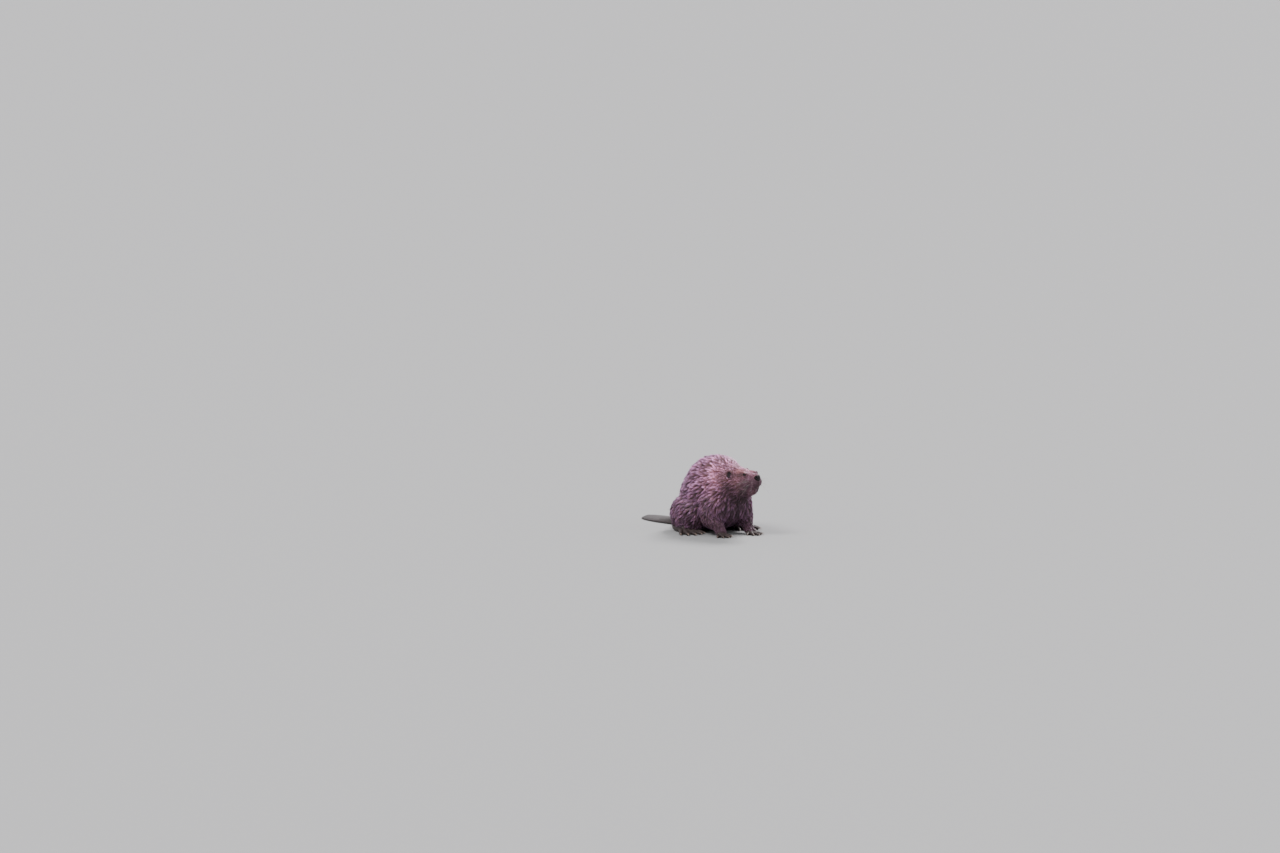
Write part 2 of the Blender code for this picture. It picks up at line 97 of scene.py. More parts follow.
# An ear is a cup: where it is, its depth and half its width and height, and the way it faces and leans.
# Its rolled rim has rings (forward, share of the radius), and its hollow a depth, a share and a start.
EAR_AT = (0.0320, 0.0497, 0.2240)
EAR_HALF = (0.0060, 0.0120, 0.0163)
EAR_FACING, EAR_LEAN = math.radians(62.0), math.radians(14.0)
EAR_RIM = ((0.0013, 0.995), (0.0020, 0.955), (0.0013, 0.90))
EAR_HOLLOW = (0.0028, 0.86, 0.48 * math.pi)
EAR_WAVE, EAR_AROUND = 0.0006, 48
# The ear's dark hollow, and a patch just below it, are painted near black: partly the ear's own dark skin and
# hair, partly painted shade in the hollow.
EAR_DARK_HALF, EAR_DARK_DROP, EAR_DARK_HIGH = 0.85, 0.22, 1.15  # the dark hollow, as shares of the cup

# Feet: where the heel stands, degrees of splay, joints of the sole (ahead, up, radius), half its width,
# the toes' roots (ahead, gap, arc), their reach, joints (share, up, radius), lengths, fan, webbed share,
# and each claw's height, length, width and flatness.
FEET = {
    "hind": dict(
        at=(-0.205, 0.098), splay=9.0, half_width=0.008, roots=(0.063, 0.0088, 0.0), reach=0.087,
        sole=((0.0, 0.017, 0.016), (0.038, 0.015, 0.017), (0.066, 0.0125, 0.0135)),
        toe=((0.0, 0.0110, 0.0088), (0.45, 0.0098, 0.0080), (0.72, 0.0088, 0.0076), (1.0, 0.0066, 0.0060)),
        lengths=(0.74, 0.90, 1.00, 0.97, 0.80), fan=(-21.0, -10.0, 1.0, 12.0, 23.0), web=0.86,
        claw=(0.0072, 0.0195, 0.0078, 0.72),
    ),
    "fore": dict(
        at=(0.006, 0.060), splay=4.0, half_width=0.0065, roots=(0.025, 0.0062, 0.0025), reach=0.038,
        sole=((0.0, 0.030, 0.0150), (0.012, 0.018, 0.0145), (0.028, 0.0100, 0.0100)),
        toe=((0.0, 0.0090, 0.0062), (0.5, 0.0082, 0.0056), (1.0, 0.0056, 0.0048)),
        lengths=(0.52, 0.88, 1.00, 0.94, 0.72), fan=(-40.0, -17.0, -1.0, 15.0, 36.0), web=0.0,
        claw=(0.0064, 0.0150, 0.0046, 0.95),
    ),
}
SINK = 0.0012  # how far the soles are pressed into the floor before they are flattened
WEB_THICK, WEB_SCALLOP, WEB_UP = 0.0034, 0.10, 0.006
CREASE_GAP, CREASE_DEPTH = 0.0042, 0.00045  # the folds across a toe

# Lids: where an eye faces (ahead, aside, up), how the lids tilt, half the opening along and across, how
# square it is, how much shorter the lower lid is, and how far the skin stands off the eye: inside the
# opening, at the lids' edge, and at least beyond it.
EYE_OUT, LID_TILT = (0.44, 0.86, 0.22), 0.10
LID_HALF = (math.radians(52.0), math.radians(34.0))
LID_SQUARE, LOWER_LID = 1.75, 1.12
LID_HIDDEN, LID_EDGE, LID_LEAST = -0.0013, 0.0007, 0.0005
LID_PLUMP, LID_CREASE = 0.0003, (0.0008, 1.62, 0.13)  # the crease: depth, place and width on the ring
EYE_REACH = 0.026

# The nose pad on the head's own axis: its height and half sizes, where it starts, how it narrows below a
# height, its nostrils and slits (aside, up, half sizes), and the cleft between the heights.
PAD_UP, PAD_HALF, PAD_POWER = 0.2155, (0.0156, 0.0102), 2.4
PAD_STARTS, PAD_TAPER = (0.1090, 0.1130), (0.2157, 0.35)
NOSTRIL, NOSTRIL_LEAN, NOSTRIL_DEEP = (0.0093, 0.2169, 0.0026, 0.0035), (0.25, 0.45), 0.0050
SLIT = (0.0026, 0.0020, 0.0030, 0.0012)
CLEFT_WIDTH, CLEFT_LOW, CLEFT_HIGH, CLEFT_STARTS = 0.0010, (0.181, 0.186), (0.2187, 0.2247), (0.101, 0.109)
MOUTH = ((0.122, 0.0, 0.1800), (0.114, 0.0125, 0.1795), (0.098, 0.025, 0.1790), (0.080, 0.032, 0.1765))
MOUTH_WIDTH, LIPS_WIDTH = 0.0017, 0.0055
PAD_RISE, NOSTRIL_RISE, LIPS_RISE = 0.0006, 0.0006, 0.0007
CLEFT_DEEP, MOUTH_DEEP = 0.0012, 0.0030

# How the coat lies, on the left side and mirrored, in millimetres: a place, the way the hair points,
# its length, how far its tips stand off the skin, a tuft's width, the gap between two locks, how far
# the row reaches, and then how pale and how warm its colour is. How pale it is holds the markings and
# painted light together: painted highlight makes the withers, back, nape and neck paler where light
# falls, and painted shade makes the low flanks, belly, chest and lower legs darker.
BODY_COAT = {
    "nape": ((0, 0, 252), (-1, 0, 0.10), 18, 3.2, 0.9, 5.6, 38, 1.32, 0.3),
    "withers": ((-70, 0, 282), (-1, 0, 0.00), 28, 6.0, 1.1, 8.5, 48, 1.46, 0.10),
    "back": ((-150, 0, 262), (-1, 0, -0.20), 36, 9.0, 1.3, 10.0, 50, 1.36, 0.0),
    "croup": ((-225, 0, 200), (-1, 0, -0.80), 36, 9.5, 1.3, 10.0, 50, 1.10, 0.0),
    "rump": ((-272, 0, 115), (-0.5, 0, -1), 30, 8.0, 1.3, 9.0, 45, 0.84, 0.0),
    "neck_side": ((5, 72, 185), (-1, 0, -0.30), 21, 5.2, 1.0, 7.0, 38, 1.34, 0.6),
    # neck_top is mostly painted highlight: the light on the wet fur of the upper neck.
    "neck_top": ((-12, 64, 222), (-1, 0, -0.18), 20, 4.8, 1.0, 6.5, 26, 1.85, 0.55),
    "shoulder": ((-50, 100, 165), (-1, 0, -0.45), 30, 8.0, 1.2, 9.0, 45, 1.04, 0.1),
    "flank": ((-125, 115, 150), (-1, 0, -0.42), 34, 9.5, 1.3, 10.0, 50, 1.02, 0.0),
    "loin": ((-200, 95, 150), (-1, 0, -0.75), 34, 9.5, 1.3, 10.0, 45, 0.96, 0.0),
    "low_flank": ((-110, 112, 85), (-1, 0, -0.60), 28, 8.0, 1.45, 9.0, 40, 0.5, 0.0),
    "haunch": ((-175, 130, 70), (-0.8, 0, -1), 26, 7.0, 1.35, 8.5, 40, 0.62, 0.10),
    "thigh": ((-100, 120, 50), (-0.9, 0, -0.8), 20, 6.0, 1.35, 6.5, 25, 0.50, 0.10),
    "hock": ((-190, 105, 28), (0.2, 0, -1), 12, 3.5, 1.1, 5.0, 25, 0.40, 0.10),
    "belly": ((-120, 0, 18), (-1, 0, 0), 22, 5.0, 1.7, 7.0, 50, 0.34, 0.10),
    "belly_side": ((-80, 70, 35), (-1, 0.2, -0.3), 22, 6.0, 1.55, 7.0, 30, 0.38, 0.10),
    "chest": ((35, 25, 105), (-0.35, 0, -1), 26, 7.0, 1.4, 8.0, 35, 0.42, 0.1),
    "upper_arm": ((-40, 95, 105), (-0.3, 0, -1), 22, 6.0, 1.25, 6.5, 30, 0.56, 0.15),
    "elbow": ((-55, 90, 62), (0.1, 0, -1), 14, 4.0, 1.05, 5.0, 20, 0.48, 0.15),
    "forearm": ((-15, 80, 45), (1, -0.2, -0.6), 10, 2.8, 0.9, 4.0, 18, 0.46, 0.20),
    "wrist": ((12, 62, 30), (1, 0, -0.7), 6, 1.3, 0.6, 2.8, 12, 0.42, 0.20),
    "paw": ((34, 64, 16), (1, 0, -0.25), 4.2, 0.8, 0.55, 2.2, 10, 0.36, 0.2),
    "tail_top": ((-300, 0, 72), (-1, 0, -0.3), 20, 5.0, 1.1, 6.0, 30, 0.80, 0.10),
    "tail_side": ((-305, 45, 40), (-1, 0, -0.1), 18, 4.5, 1.0, 5.5, 25, 0.64, 0.10),
    "tail_under": ((-300, 0, 6), (-1, 0, 0), 12, 2.5, 1.0, 5.0, 25, 0.42, 0.10),
    "tail_end": ((-344, 0, 26), (-1, 0, 0), 14, 2.6, 0.8, 4.0, 14, 0.60, 0.10),
    "tail_end_side": ((-344, 28, 10), (-1, 0, 0), 14, 2.8, 0.8, 4.0, 14, 0.55, 0.10),
}
# In the head's rows, how pale also holds painted light: painted highlight on the forehead, crown, brow,
# temple and muzzle top, and painted shade on the jowls, the jaw, under the jaw and on the throat.
HEAD_COAT = {
    "nose_bridge": ((115, 0, 230), (-1, 0, 0.1), 3.6, 0.9, 0.5, 2.0, 10, 0.92, 0.45),
    "muzzle_top": ((101, 0, 236), (-1, 0, 0.1), 6, 1.5, 0.6, 2.6, 14, 1.15, 0.6),
    "forehead": ((78, 0, 248), (-1, 0, 0.15), 9, 2.4, 0.75, 3.8, 18, 1.42, 0.75),
    "crown": ((40, 0, 252), (-1, 0, 0.05), 13, 3.4, 0.9, 5.0, 25, 1.32, 0.5),
    "lip": ((118, 14, 197), (-0.6, 0.8, -0.35), 3.6, 0.9, 0.5, 2.0, 11, 0.56, 0.35),
    "lip_low": ((113, 10, 188), (-0.5, 0.9, -0.3), 3.4, 0.8, 0.5, 2.0, 8, 0.44, 0.35),
    "pad": ((102, 31, 200), (-1, 0.25, -0.35), 6, 1.6, 0.6, 2.6, 13, 0.58, 0.4),
    "cheek": ((72, 55, 190), (-1, 0.1, -0.5), 14, 3.8, 0.9, 5.2, 20, 0.86, 0.6),
    "jowl": ((45, 60, 172), (-1, 0.1, -0.7), 20, 5.2, 1.0, 6.6, 24, 0.33, 0.3),
    "under_eye": ((88, 40, 213), (-1, 0.1, -0.45), 6, 1.5, 0.6, 2.6, 9, 0.82, 0.6),
    "brow": ((84, 31, 241), (-1, 0.1, 0.35), 6, 1.6, 0.65, 2.8, 8, 1.62, 1.3),
    "eye_front": ((97, 27, 230), (-0.6, -0.2, 0.8), 3.6, 0.9, 0.5, 2.2, 5, 0.46, 0.6),
    "eye_front_low": ((97, 30, 221), (-0.7, 0.3, -0.6), 3.6, 0.9, 0.5, 2.2, 5, 0.60, 0.5),
    "eye_back": ((76, 37, 227), (-1, 0.15, 0), 5.5, 1.4, 0.65, 2.8, 6, 0.32, 0.9),
    "eye_line": ((62, 43, 226), (-1, 0.1, 0), 7, 1.8, 0.7, 3.0, 6, 0.24, 1.0),
    "temple": ((60, 38, 238), (-1, 0, 0.1), 8, 2.2, 0.75, 3.2, 11, 1.22, 1.5),
    "cheek_top": ((66, 47, 213), (-1, 0.1, -0.3), 8, 2.2, 0.75, 3.4, 10, 1.12, 0.7),
    "ear": ((32, 53, 228), (-0.2, 0.1, 1), 4.6, 0.8, 0.62, 2.2, 10, 0.72, 0.5),
    "ear_front": ((48, 46, 225), (-1, 0.3, 0.1), 7, 1.8, 0.7, 3.0, 7, 0.36, 0.7),
    "ear_behind": ((13, 56, 224), (-1, 0.1, -0.1), 12, 2.8, 0.9, 4.4, 14, 1.05, 0.35),
    "ear_above": ((29, 36, 246), (-1, 0.1, 0.1), 11, 2.8, 0.9, 4.0, 13, 1.10, 0.4),
    "chin": ((106, 0, 157), (-1, 0, -0.5), 7, 1.8, 0.7, 3.0, 14, 0.95, 0.2),
    "lip_under": ((110, 12, 172), (-0.8, 0.4, -0.4), 4, 1.0, 0.5, 2.2, 8, 0.60, 0.5),
    "jaw": ((82, 30, 165), (-1, 0.05, -0.35), 10, 2.8, 0.8, 4.6, 16, 0.28, 0.3),
    "under_jaw": ((70, 0, 140), (-1, 0, -0.4), 16, 4.5, 1.0, 5.0, 25, 0.26, 0.3),
    "throat": ((35, 0, 125), (-0.6, 0, -1), 22, 6.5, 1.2, 7.5, 30, 0.3, 0.15),
}

LENGTH, LIFT, WIDTH, LOCK_GAP, SHADE, WARM = range(6)  # columns of what coat_at gives
LAYERS = 7.6  # how many tufts lie over each other
LOCK_TRIES = 5.0  # places tried for each lock that finds room
GUIDE_STEPS = 6  # along a lock's path
LONG_TUFT = 0.0200  # a coat this long has tufts with one ring more
PIECE_TUFTS = 12000  # at most, in one piece of coat
LONG_RINGS = ((0.0, 0.80), (0.36, 1.0), (0.72, 0.66))  # a tuft's rings: shares of its length and width
SHORT_RINGS = ((0.0, 0.85), (0.48, 0.90))
TUFT_SECTION = ((-1.0, -0.3, 0.0), (0.0, 0.84, 0.5), (1.0, -0.3, 1.0))  # corners: aside, up, place on the map
GUARD_SHARE, GUARD_GIRTH = 0.12, 0.30  # how many hairs stand clear of the locks, and how thick they are
PAINT_MAP = "OFBake"
PATCH = 0.003  # a tuft's patch on that map

CLAW_AROUND, CLAW_STATIONS = 14, 12
CLAW_RISE = ((-0.30, 0.25, 0.65, 1.0), (0.0, 0.0011, 0.0003, -0.0026))  # along the claw, and how it curves
CLAW_GIRTH = ((-0.30, 0.25, 0.65, 0.9, 1.0), (0.92, 0.95, 0.66, 0.36, 0.14))

# Whiskers spring from rows of places: the first place on the head's axis, the steps from place to place and
# from row to row, and their thickness.
WHISKER_AT, WHISKER_STEP, WHISKER_ROW = (0.116, 0.017, 0.2075), (-0.0066, 0.0042), (0.0010, -0.0056)
WHISKER_ROWS, WHISKER_STATIONS, WHISKER_AROUND = 4, 9, 5
WHISKER_RADII = (0.00020, 0.00032)

SCALE_STEP = 0.80  # from one row of scales to the next, as a share of a scale's width
SCALE_OUTLINE = ((-0.50, 0.0), (-0.34, 0.5), (0.30, 0.52), (0.66, 0.0), (0.30, -0.52), (-0.34, -0.5))
SCALE_RINGS = ((1.0, -0.12, -0.04), (0.97, -0.05, 0.115), (0.66, 0.03, 0.16))  # share, rises ahead, behind
FACE_UP, FACE_DOWN = 0.45, -0.85  # how far the paddle's faces point up and down
RIM_SIZE = 0.50  # a plate on the tail's rim, as a share of one on its face
RIM_SPACING = 0.74  # from one rim plate to the next, as a share of its width
RIM_FACES = (-0.87, 0.50)  # how far the rim faces down and up
RIM_TRIES = 6.0  # places tried for each rim plate's square
FACE_UNDER_FUR, RIM_UNDER_FUR = 0.006, 0.004  # how far the plates go on under the coat

COAT_SEED, WHISKER_SEED, SCALE_SEED = 7, 21, 3

VIEW_AZIMUTH, VIEW_ELEVATION = 58.0, 7.0  # of the camera, in degrees
VIEW_DISTANCE, VIEW_LENS = 38.19, 300.0
VIEW_ASIDE, VIEW_ABOVE = -0.2078, 0.3623  # the middle of the picture, from the model's origin
FLOOR_HALF = 400.0
SUNS = {  # degrees from the camera's own side and above the floor, strength, width in degrees, colour
    "key": (-44.0, 50.0, 2.4, 20.0, (1.0, 0.97, 0.97)),
    "fill": (62.0, 30.0, 0.6, 50.0, (0.98, 0.96, 1.0)),
    "rim": (150.0, 46.0, 4.4, 24.0, (1.0, 0.95, 0.98)),
}


# ---------------------------------------------------------------- settings


def colour_setting(name, description, default):
    return bpy.props.FloatVectorProperty(
        name=name, description=description, default=default, subtype="COLOR", size=3, min=0.0, max=1.0
    )


def length_setting(name, description, default):
    return bpy.props.FloatProperty(
        name=name, description=description, default=default, subtype="DISTANCE", unit="LENGTH", min=0.0
    )


def share_setting(name, description, default):
    return bpy.props.FloatProperty(
        name=name, description=description, default=default, subtype="FACTOR", min=0.0, max=2.0
    )


class BEAVER_PG_coat(bpy.types.PropertyGroup):
    root: colour_setting("Root colour", "The coat deep down, near the skin", (0.015, 0.0070, 0.0085))
    middle: colour_setting("Middle colour", "The coat half way up a lock", (0.212, 0.092, 0.118))
    # The tips are pale and mauve partly as the hairs' own light ends and partly as painted sheen: the glint
    # of sky light on wet fur.
    tip: colour_setting("Tip colour", "The ends of the guard hairs", (0.82, 0.43, 0.80))
    warm: colour_setting("Face colour", "What the face's hair leans to", (0.45, 0.160, 0.125))
    length: share_setting("Length", "How long the coat is, as a share of its natural length", 1.0)
    density: share_setting("Density", "How many tufts there are, as a share of the full coat", 1.0)
    roughness: share_setting("Roughness", "Low where the coat is wet", 0.40)


class BEAVER_PG_skin(bpy.types.PropertyGroup):
    hide: colour_setting("Bare skin colour", "The feet's leathery skin", (0.046, 0.033, 0.032))
    nose: colour_setting("Nose colour", "The bare nose pad, the lips and the lids", (0.0100, 0.0060, 0.0075))
    tail: colour_setting("Tail colour", "The scales of the tail", (0.044, 0.037, 0.038))
    scale: length_setting("Scale size", "How wide one scale of the tail is", 0.0043)


class BEAVER_PG_details(bpy.types.PropertyGroup):
    iris: colour_setting("Iris colour", "The ring round the pupil", (0.022, 0.009, 0.005))
    claw: colour_setting("Claw colour", "The horn of the claws", (0.110, 0.080, 0.066))
    whisker: colour_setting("Whisker colour", "The whiskers, root to tip", (0.56, 0.49, 0.49))
    whisker_length: length_setting("Whisker length", "The longest whisker", 0.064)


class BEAVER_PG_stage(bpy.types.PropertyGroup):
    floor: colour_setting("Floor colour", "The plain floor", (0.3095, 0.3176, 0.3175))
    sky: colour_setting("Light colour", "The light from all round", (0.96, 0.955, 0.975))
    strength: share_setting("Light strength", "How bright the light from all round is", 0.78)


def setting(group):
    """The settings of one group: coat, skin, details or stage."""
    return getattr(bpy.context.scene, f"beaver_{group}")


# ---------------------------------------------------------------- places and shapes


def body_place(x, y, z):
    return NECK + np.array((x, y, z))


def head_place(ahead, side, up):
    return NECK + AHEAD * ahead + LEFT * side + UP * up


def ear_centre(sign):
    return head_place(EAR_AT[0], EAR_AT[1] * sign, EAR_AT[2])


def on_head(points):
    """Each point as ahead of the neck, to the left and above the floor, along the head's own axis."""
    rel = points - NECK
    return np.stack((rel @ AHEAD, rel @ LEFT, rel[:, 2]), axis=1)


def in_box(points, name, margin):
    """True for points in a solid's box, or within a margin of it."""
    low, high = (np.array(corner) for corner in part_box(name))
    return ((points > low - margin) & (points < high + margin)).all(axis=1)


def ramp(value, low, high):
    """0 up to low, 1 from high on, and smooth between."""
    share = np.clip((value - low) / (high - low), 0.0, 1.0)
    return share * share * (3.0 - 2.0 * share)


def peak(value):
    """1 at 0, and falling smoothly on both sides."""
    return np.exp(-(value**2))


def unit(vectors):
    return vectors / np.maximum(np.linalg.norm(vectors, axis=-1, keepdims=True), 1e-12)


def off_line(points, start, step):
    """(share of the way, distance) of each point from the line that goes one step on from its start."""
    share = np.clip((points - start) @ step / (step @ step), 0.0, 1.0)
    return share, np.linalg.norm(points - start - share[:, None] * step, axis=1)


def object_of(name, data):
    obj = bpy.data.objects.new(name, data)
    bpy.context.scene.collection.objects.link(obj)
    return obj


def mesh_of(bm, name):
    mesh = bpy.data.meshes.new(name)
    bm.to_mesh(mesh)
    bm.free()
    return mesh


def add_shape(bm, part):
    """Puts one bmesh into another. The first goes."""
    mesh = mesh_of(part, "part")
    bm.from_mesh(mesh)
    bpy.data.meshes.remove(mesh)


def applied(obj):
    """The mesh that the object's modifiers make. The object goes."""
    graph = bpy.context.evaluated_depsgraph_get()
    graph.update()
    mesh = bpy.data.meshes.new_from_object(obj.evaluated_get(graph))
    bpy.data.objects.remove(obj)
    return mesh


def arrays(mesh):
    """(vertices, triangles) of a mesh."""
    mesh.calc_loop_triangles()
    vertices = np.empty(len(mesh.vertices) * 3, np.float32)
    mesh.vertices.foreach_get("co", vertices)
    triangles = np.empty(len(mesh.loop_triangles) * 3, np.int32)
    mesh.loop_triangles.foreach_get("vertices", triangles)
    return vertices.reshape(-1, 3).astype(float), triangles.reshape(-1, 3)


def tree_of(vertices, triangles):
    return BVHTree.FromPolygons(vertices.tolist(), triangles.tolist())


def vertex_normals(vertices, triangles):
    corners = vertices[triangles]
    faces = np.cross(corners[:, 1] - corners[:, 0], corners[:, 2] - corners[:, 0])
    total = np.zeros_like(vertices)
    for corner in range(3):
        for axis in range(3):
            total[:, axis] += np.bincount(triangles[:, corner], faces[:, axis], len(vertices))
    return unit(total)


def blurred(values, triangles, steps, share=0.5):
    """Values of the vertices, evened out along the triangles' edges."""
    edges = np.concatenate((triangles[:, (0, 1)], triangles[:, (1, 2)], triangles[:, (2, 0)]))
    one, two = np.concatenate((edges, edges[:, ::-1])).T
    values = values.reshape(len(values), -1).copy()
    count = np.maximum(np.bincount(one, minlength=len(values)), 1)[:, None]
    for _ in range(steps):
        around = np.stack([np.bincount(one, column[two], len(values)) for column in values.T], axis=1)
        values += (around / count - values) * np.reshape(share, (-1, 1))
    return values


def triangle_mesh(name, vertices, triangles, attributes=None, uv=None):
    """A smooth mesh. attributes are name to a value, or three, per vertex; uv is one place per corner."""
    mesh = bpy.data.meshes.new(name)
    mesh.vertices.add(len(vertices))
    mesh.vertices.foreach_set("co", np.ascontiguousarray(vertices, np.float32).ravel())
    mesh.loops.add(triangles.size)
    mesh.loops.foreach_set("vertex_index", np.ascontiguousarray(triangles, np.int32).ravel())
    mesh.polygons.add(len(triangles))
    mesh.polygons.foreach_set("loop_start", np.arange(0, triangles.size, 3, dtype=np.int32))
    mesh.polygons.foreach_set("use_smooth", np.ones(len(triangles), bool))
    for key, values in (attributes or {}).items():
        values = np.asarray(values, np.float32)
        kind, field = ("FLOAT", "value") if values.ndim == 1 else ("FLOAT_VECTOR", "vector")
        mesh.attributes.new(key, kind, "POINT").data.foreach_set(field, values.ravel())
    if uv is not None:
        mesh.uv_layers.new(name=PAINT_MAP).data.foreach_set("uv", np.asarray(uv, np.float32).ravel())
    mesh.update(calc_edges=True)
    return mesh


def piece(name, mesh, finish, replaces=()):
    """A finished piece of the model, which rides on its one body."""
    obj = object_of(name, mesh)
    mesh.materials.clear()
    mesh.materials.append(finish)
    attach(obj, "root")
    if replaces:
        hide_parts(*replaces)
    return obj


def repeated(faces, count, size):
    """The triangles of many like shapes, each with its own points, from those of the first."""
    return (np.array(faces)[None] + (np.arange(count) * size)[:, None, None]).reshape(-1, 3)


def tube_faces(stations, around):
    """Triangles of a tube of rings, closed at both ends."""
    faces = []
    for ring in range(stations - 1):
        for step in range(around):
            low, high = ring * around + step, ring * around + (step + 1) % around
            faces += [(low, high, high + around), (low, high + around, low + around)]
    last = (stations - 1) * around
    for step in range(1, around - 1):
        faces += [(0, step + 1, step), (last, last + step, last + step + 1)]
    return np.array(faces)


def add_limb(bm, joints, rings=16):
    """A round limb through joints of (place, radius): each two are wrapped in one tapered skin."""
    for pair in zip(joints, joints[1:]):
        part = bmesh.new()
        for place, radius in pair:
            bmesh.ops.create_uvsphere(
                part, u_segments=2 * rings, v_segments=rings, radius=radius, matrix=Matrix.Translation(place)
            )
        wrapped = bmesh.ops.convex_hull(part, input=part.verts)
        bmesh.ops.delete(part, geom=wrapped["geom_interior"], context="VERTS")
        add_shape(bm, part)


# ---------------------------------------------------------------- the coat's lie


@lru_cache(maxsize=None)
def coat_rows():
    """(places, directions, reaches, values) of both coat tables, both sides, in metres."""
    places, directions, reaches, values = [], [], [], []
    for table, axes in ((BODY_COAT, np.eye(3)), (HEAD_COAT, np.stack((AHEAD, LEFT, UP)))):
        for place, direction, length, lift, width, gap, reach, shade, warm in table.values():
            for sign in (1.0, -1.0) if place[1] else (1.0,):
                mirror = np.array((1.0, sign, 1.0))
                places.append(NECK + (np.array(place) * mirror / 1000.0) @ axes)
                directions.append((np.array(direction) * mirror) @ axes)
                reaches.append(reach / 1000.0)
                values.append((length / 1000.0, lift / 1000.0, width / 1000.0, gap / 1000.0, shade, warm))
    return np.array(places), unit(np.array(directions)), np.array(reaches), np.array(values)


def coat_at(points):
    """(directions, values) of the coat at each point, blended from the rows of the tables near it."""
    places, directions, reaches, values = coat_rows()
    squared = ((points[:, None, :] - places[None]) ** 2).sum(axis=2)
    power = -squared / (2.0 * reaches**2) - 2.0 * np.log(reaches)
    weights = np.exp(power - power.max(axis=1, keepdims=True))
    weights /= weights.sum(axis=1, keepdims=True)
    return unit(weights @ directions), weights @ values


# ---------------------------------------------------------------- feet


def foot_limbs(foot, sign):
    """(limbs, webs, claws) of one foot. The sole's two limbs come before the toes.

    A web is given by each toe's (root, place where the web ends), and a claw is (place, heading, size)."""
    turn = math.radians(foot["splay"])

    def place(ahead, out, up):
        x = foot["at"][0] + ahead * math.cos(turn) - out * math.sin(turn)
        y = foot["at"][1] + ahead * math.sin(turn) + out * math.cos(turn)
        return Vector(body_place(x, y * sign, up - SINK))

    limbs = [
        [(place(ahead, out, up), radius) for ahead, up, radius in foot["sole"]]
        for out in (-foot["half_width"], foot["half_width"])
    ]
    first, gap, arc = foot["roots"]
    webs, claws = [], []
    for number, (share, fan) in enumerate(zip(foot["lengths"], foot["fan"]), start=-2):
        root = np.array((first - abs(number) * arc, number * gap))
        heading = foot["reach"] * share * np.array((math.cos(math.radians(fan)), math.sin(math.radians(fan))))

        def toe_place(along, up, root=root, heading=heading):
            return place(*(root + heading * along), up)

        limbs.append([(toe_place(along, up), radius) for along, up, radius in foot["toe"]])
        webs.append([toe_place(along, WEB_UP) for along in (0.0, foot["web"])])
        forward = (toe_place(1.0, 0) - toe_place(0, 0)).normalized()
        claws.append((toe_place(1.0, foot["claw"][0]), forward, (1 + share) / 2))
    return limbs, webs, claws


def add_web(bm, one, two):
    """The skin between two toes, each given as (root, place where the web ends)."""
    ends, roots = (one[1] + two[1]) / 2, (one[0] + two[0]) / 2
    outline = [one[0], one[1], ends + (roots - ends) * WEB_SCALLOP, two[1], two[0]]
    half = Vector((0.0, 0.0, WEB_THICK / 2))
    lower = [bm.verts.new(point - half) for point in outline]
    upper = [bm.verts.new(point + half) for point in outline]
    bm.faces.new(upper)
    bm.faces.new(lower[::-1])
    for i in range(len(outline)):
        bm.faces.new((lower[i - 1], lower[i], upper[i], upper[i - 1]))


def add_feet(bm):
    for foot in FEET.values():
        for sign in SIDES.values():
            limbs, webs, _ = foot_limbs(foot, sign)
            for limb in limbs:
                add_limb(bm, limb)
            if foot["web"]:
                for one, two in zip(webs, webs[1:]):
                    add_web(bm, one, two)


# ---------------------------------------------------------------- the skin


def ear_axes(sign):
    """(out of the ear's hollow, across it, up along it) of one ear."""
    turn = HEAD_TURN + EAR_FACING * sign
    turned = Matrix.Rotation(turn, 3, "Z") @ Matrix.Rotation(-EAR_LEAN, 3, "Y")
    return [np.array(turned.col[i]) for i in range(3)]


def add_ear(bm, sign):
    """A round cup with a rolled rim, as one closed shell."""
    out, across, up = ear_axes(sign)
    deep, wide, high = EAR_HALF
    depth, share, start = EAR_HOLLOW
    back = [(-deep * math.cos(t), math.sin(t)) for t in np.linspace(0.0, 0.5 * math.pi, 9)]
    hollow = [(-depth * math.cos(t) ** 0.8, share * math.sin(t)) for t in np.linspace(start, 0.0, 8)]
    rings = []
    for forward, radius in (*back, *EAR_RIM, *hollow):
        if radius < 1e-6:
            rings.append([bm.verts.new(ear_centre(sign) + out * forward)])
            continue
        ring = []
        for step in range(EAR_AROUND):
            angle = 2.0 * math.pi * step / EAR_AROUND
            wave = EAR_WAVE * math.sin(3.0 * angle + 1.0) * radius**4
            at = ear_centre(sign) + out * (forward + wave) + across * wide * radius * math.cos(angle)
            ring.append(bm.verts.new(at + up * high * radius * math.sin(angle)))
        rings.append(ring)
    for one, two in zip(rings, rings[1:]):
        for step in range(EAR_AROUND):
            lower = [one[at % len(one)] for at in (step, step + 1)]
            upper = [two[at % len(two)] for at in (step + 1, step)]
            bm.faces.new(tuple(dict.fromkeys(lower + upper)))


def flesh():
    """All that the skin wraps, grown a little so that the solids meet."""
    bm = bmesh.new()
    for name in FLESH + [f"eye_{side}" for side in SIDES]:
        part = bmesh.new()
        part.from_mesh(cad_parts[name].data)
        bmesh.ops.remove_doubles(part, verts=part.verts, dist=1e-5)
        bmesh.ops.recalc_face_normals(part, faces=part.faces)
        part.normal_update()
        for vertex in part.verts:
            vertex.co += vertex.normal * SEAM_GROWTH
        add_shape(bm, part)
    add_feet(bm)
    for sign in SIDES.values():
        add_ear(bm, sign)
    return mesh_of(bm, "flesh")


def fine_places(points):
    """True where the skin keeps its full detail: the face, the ears and the feet."""
    near = np.linalg.norm(on_head(points) - np.array(MUZZLE_AT), axis=1) < FACE_REACH
    for sign in SIDES.values():
        near |= np.linalg.norm(points - ear_centre(sign), axis=1) < EAR_REACH
    for name in FEET_NODES:
        near |= in_box(points, name, FEET_MARGIN)
    return near


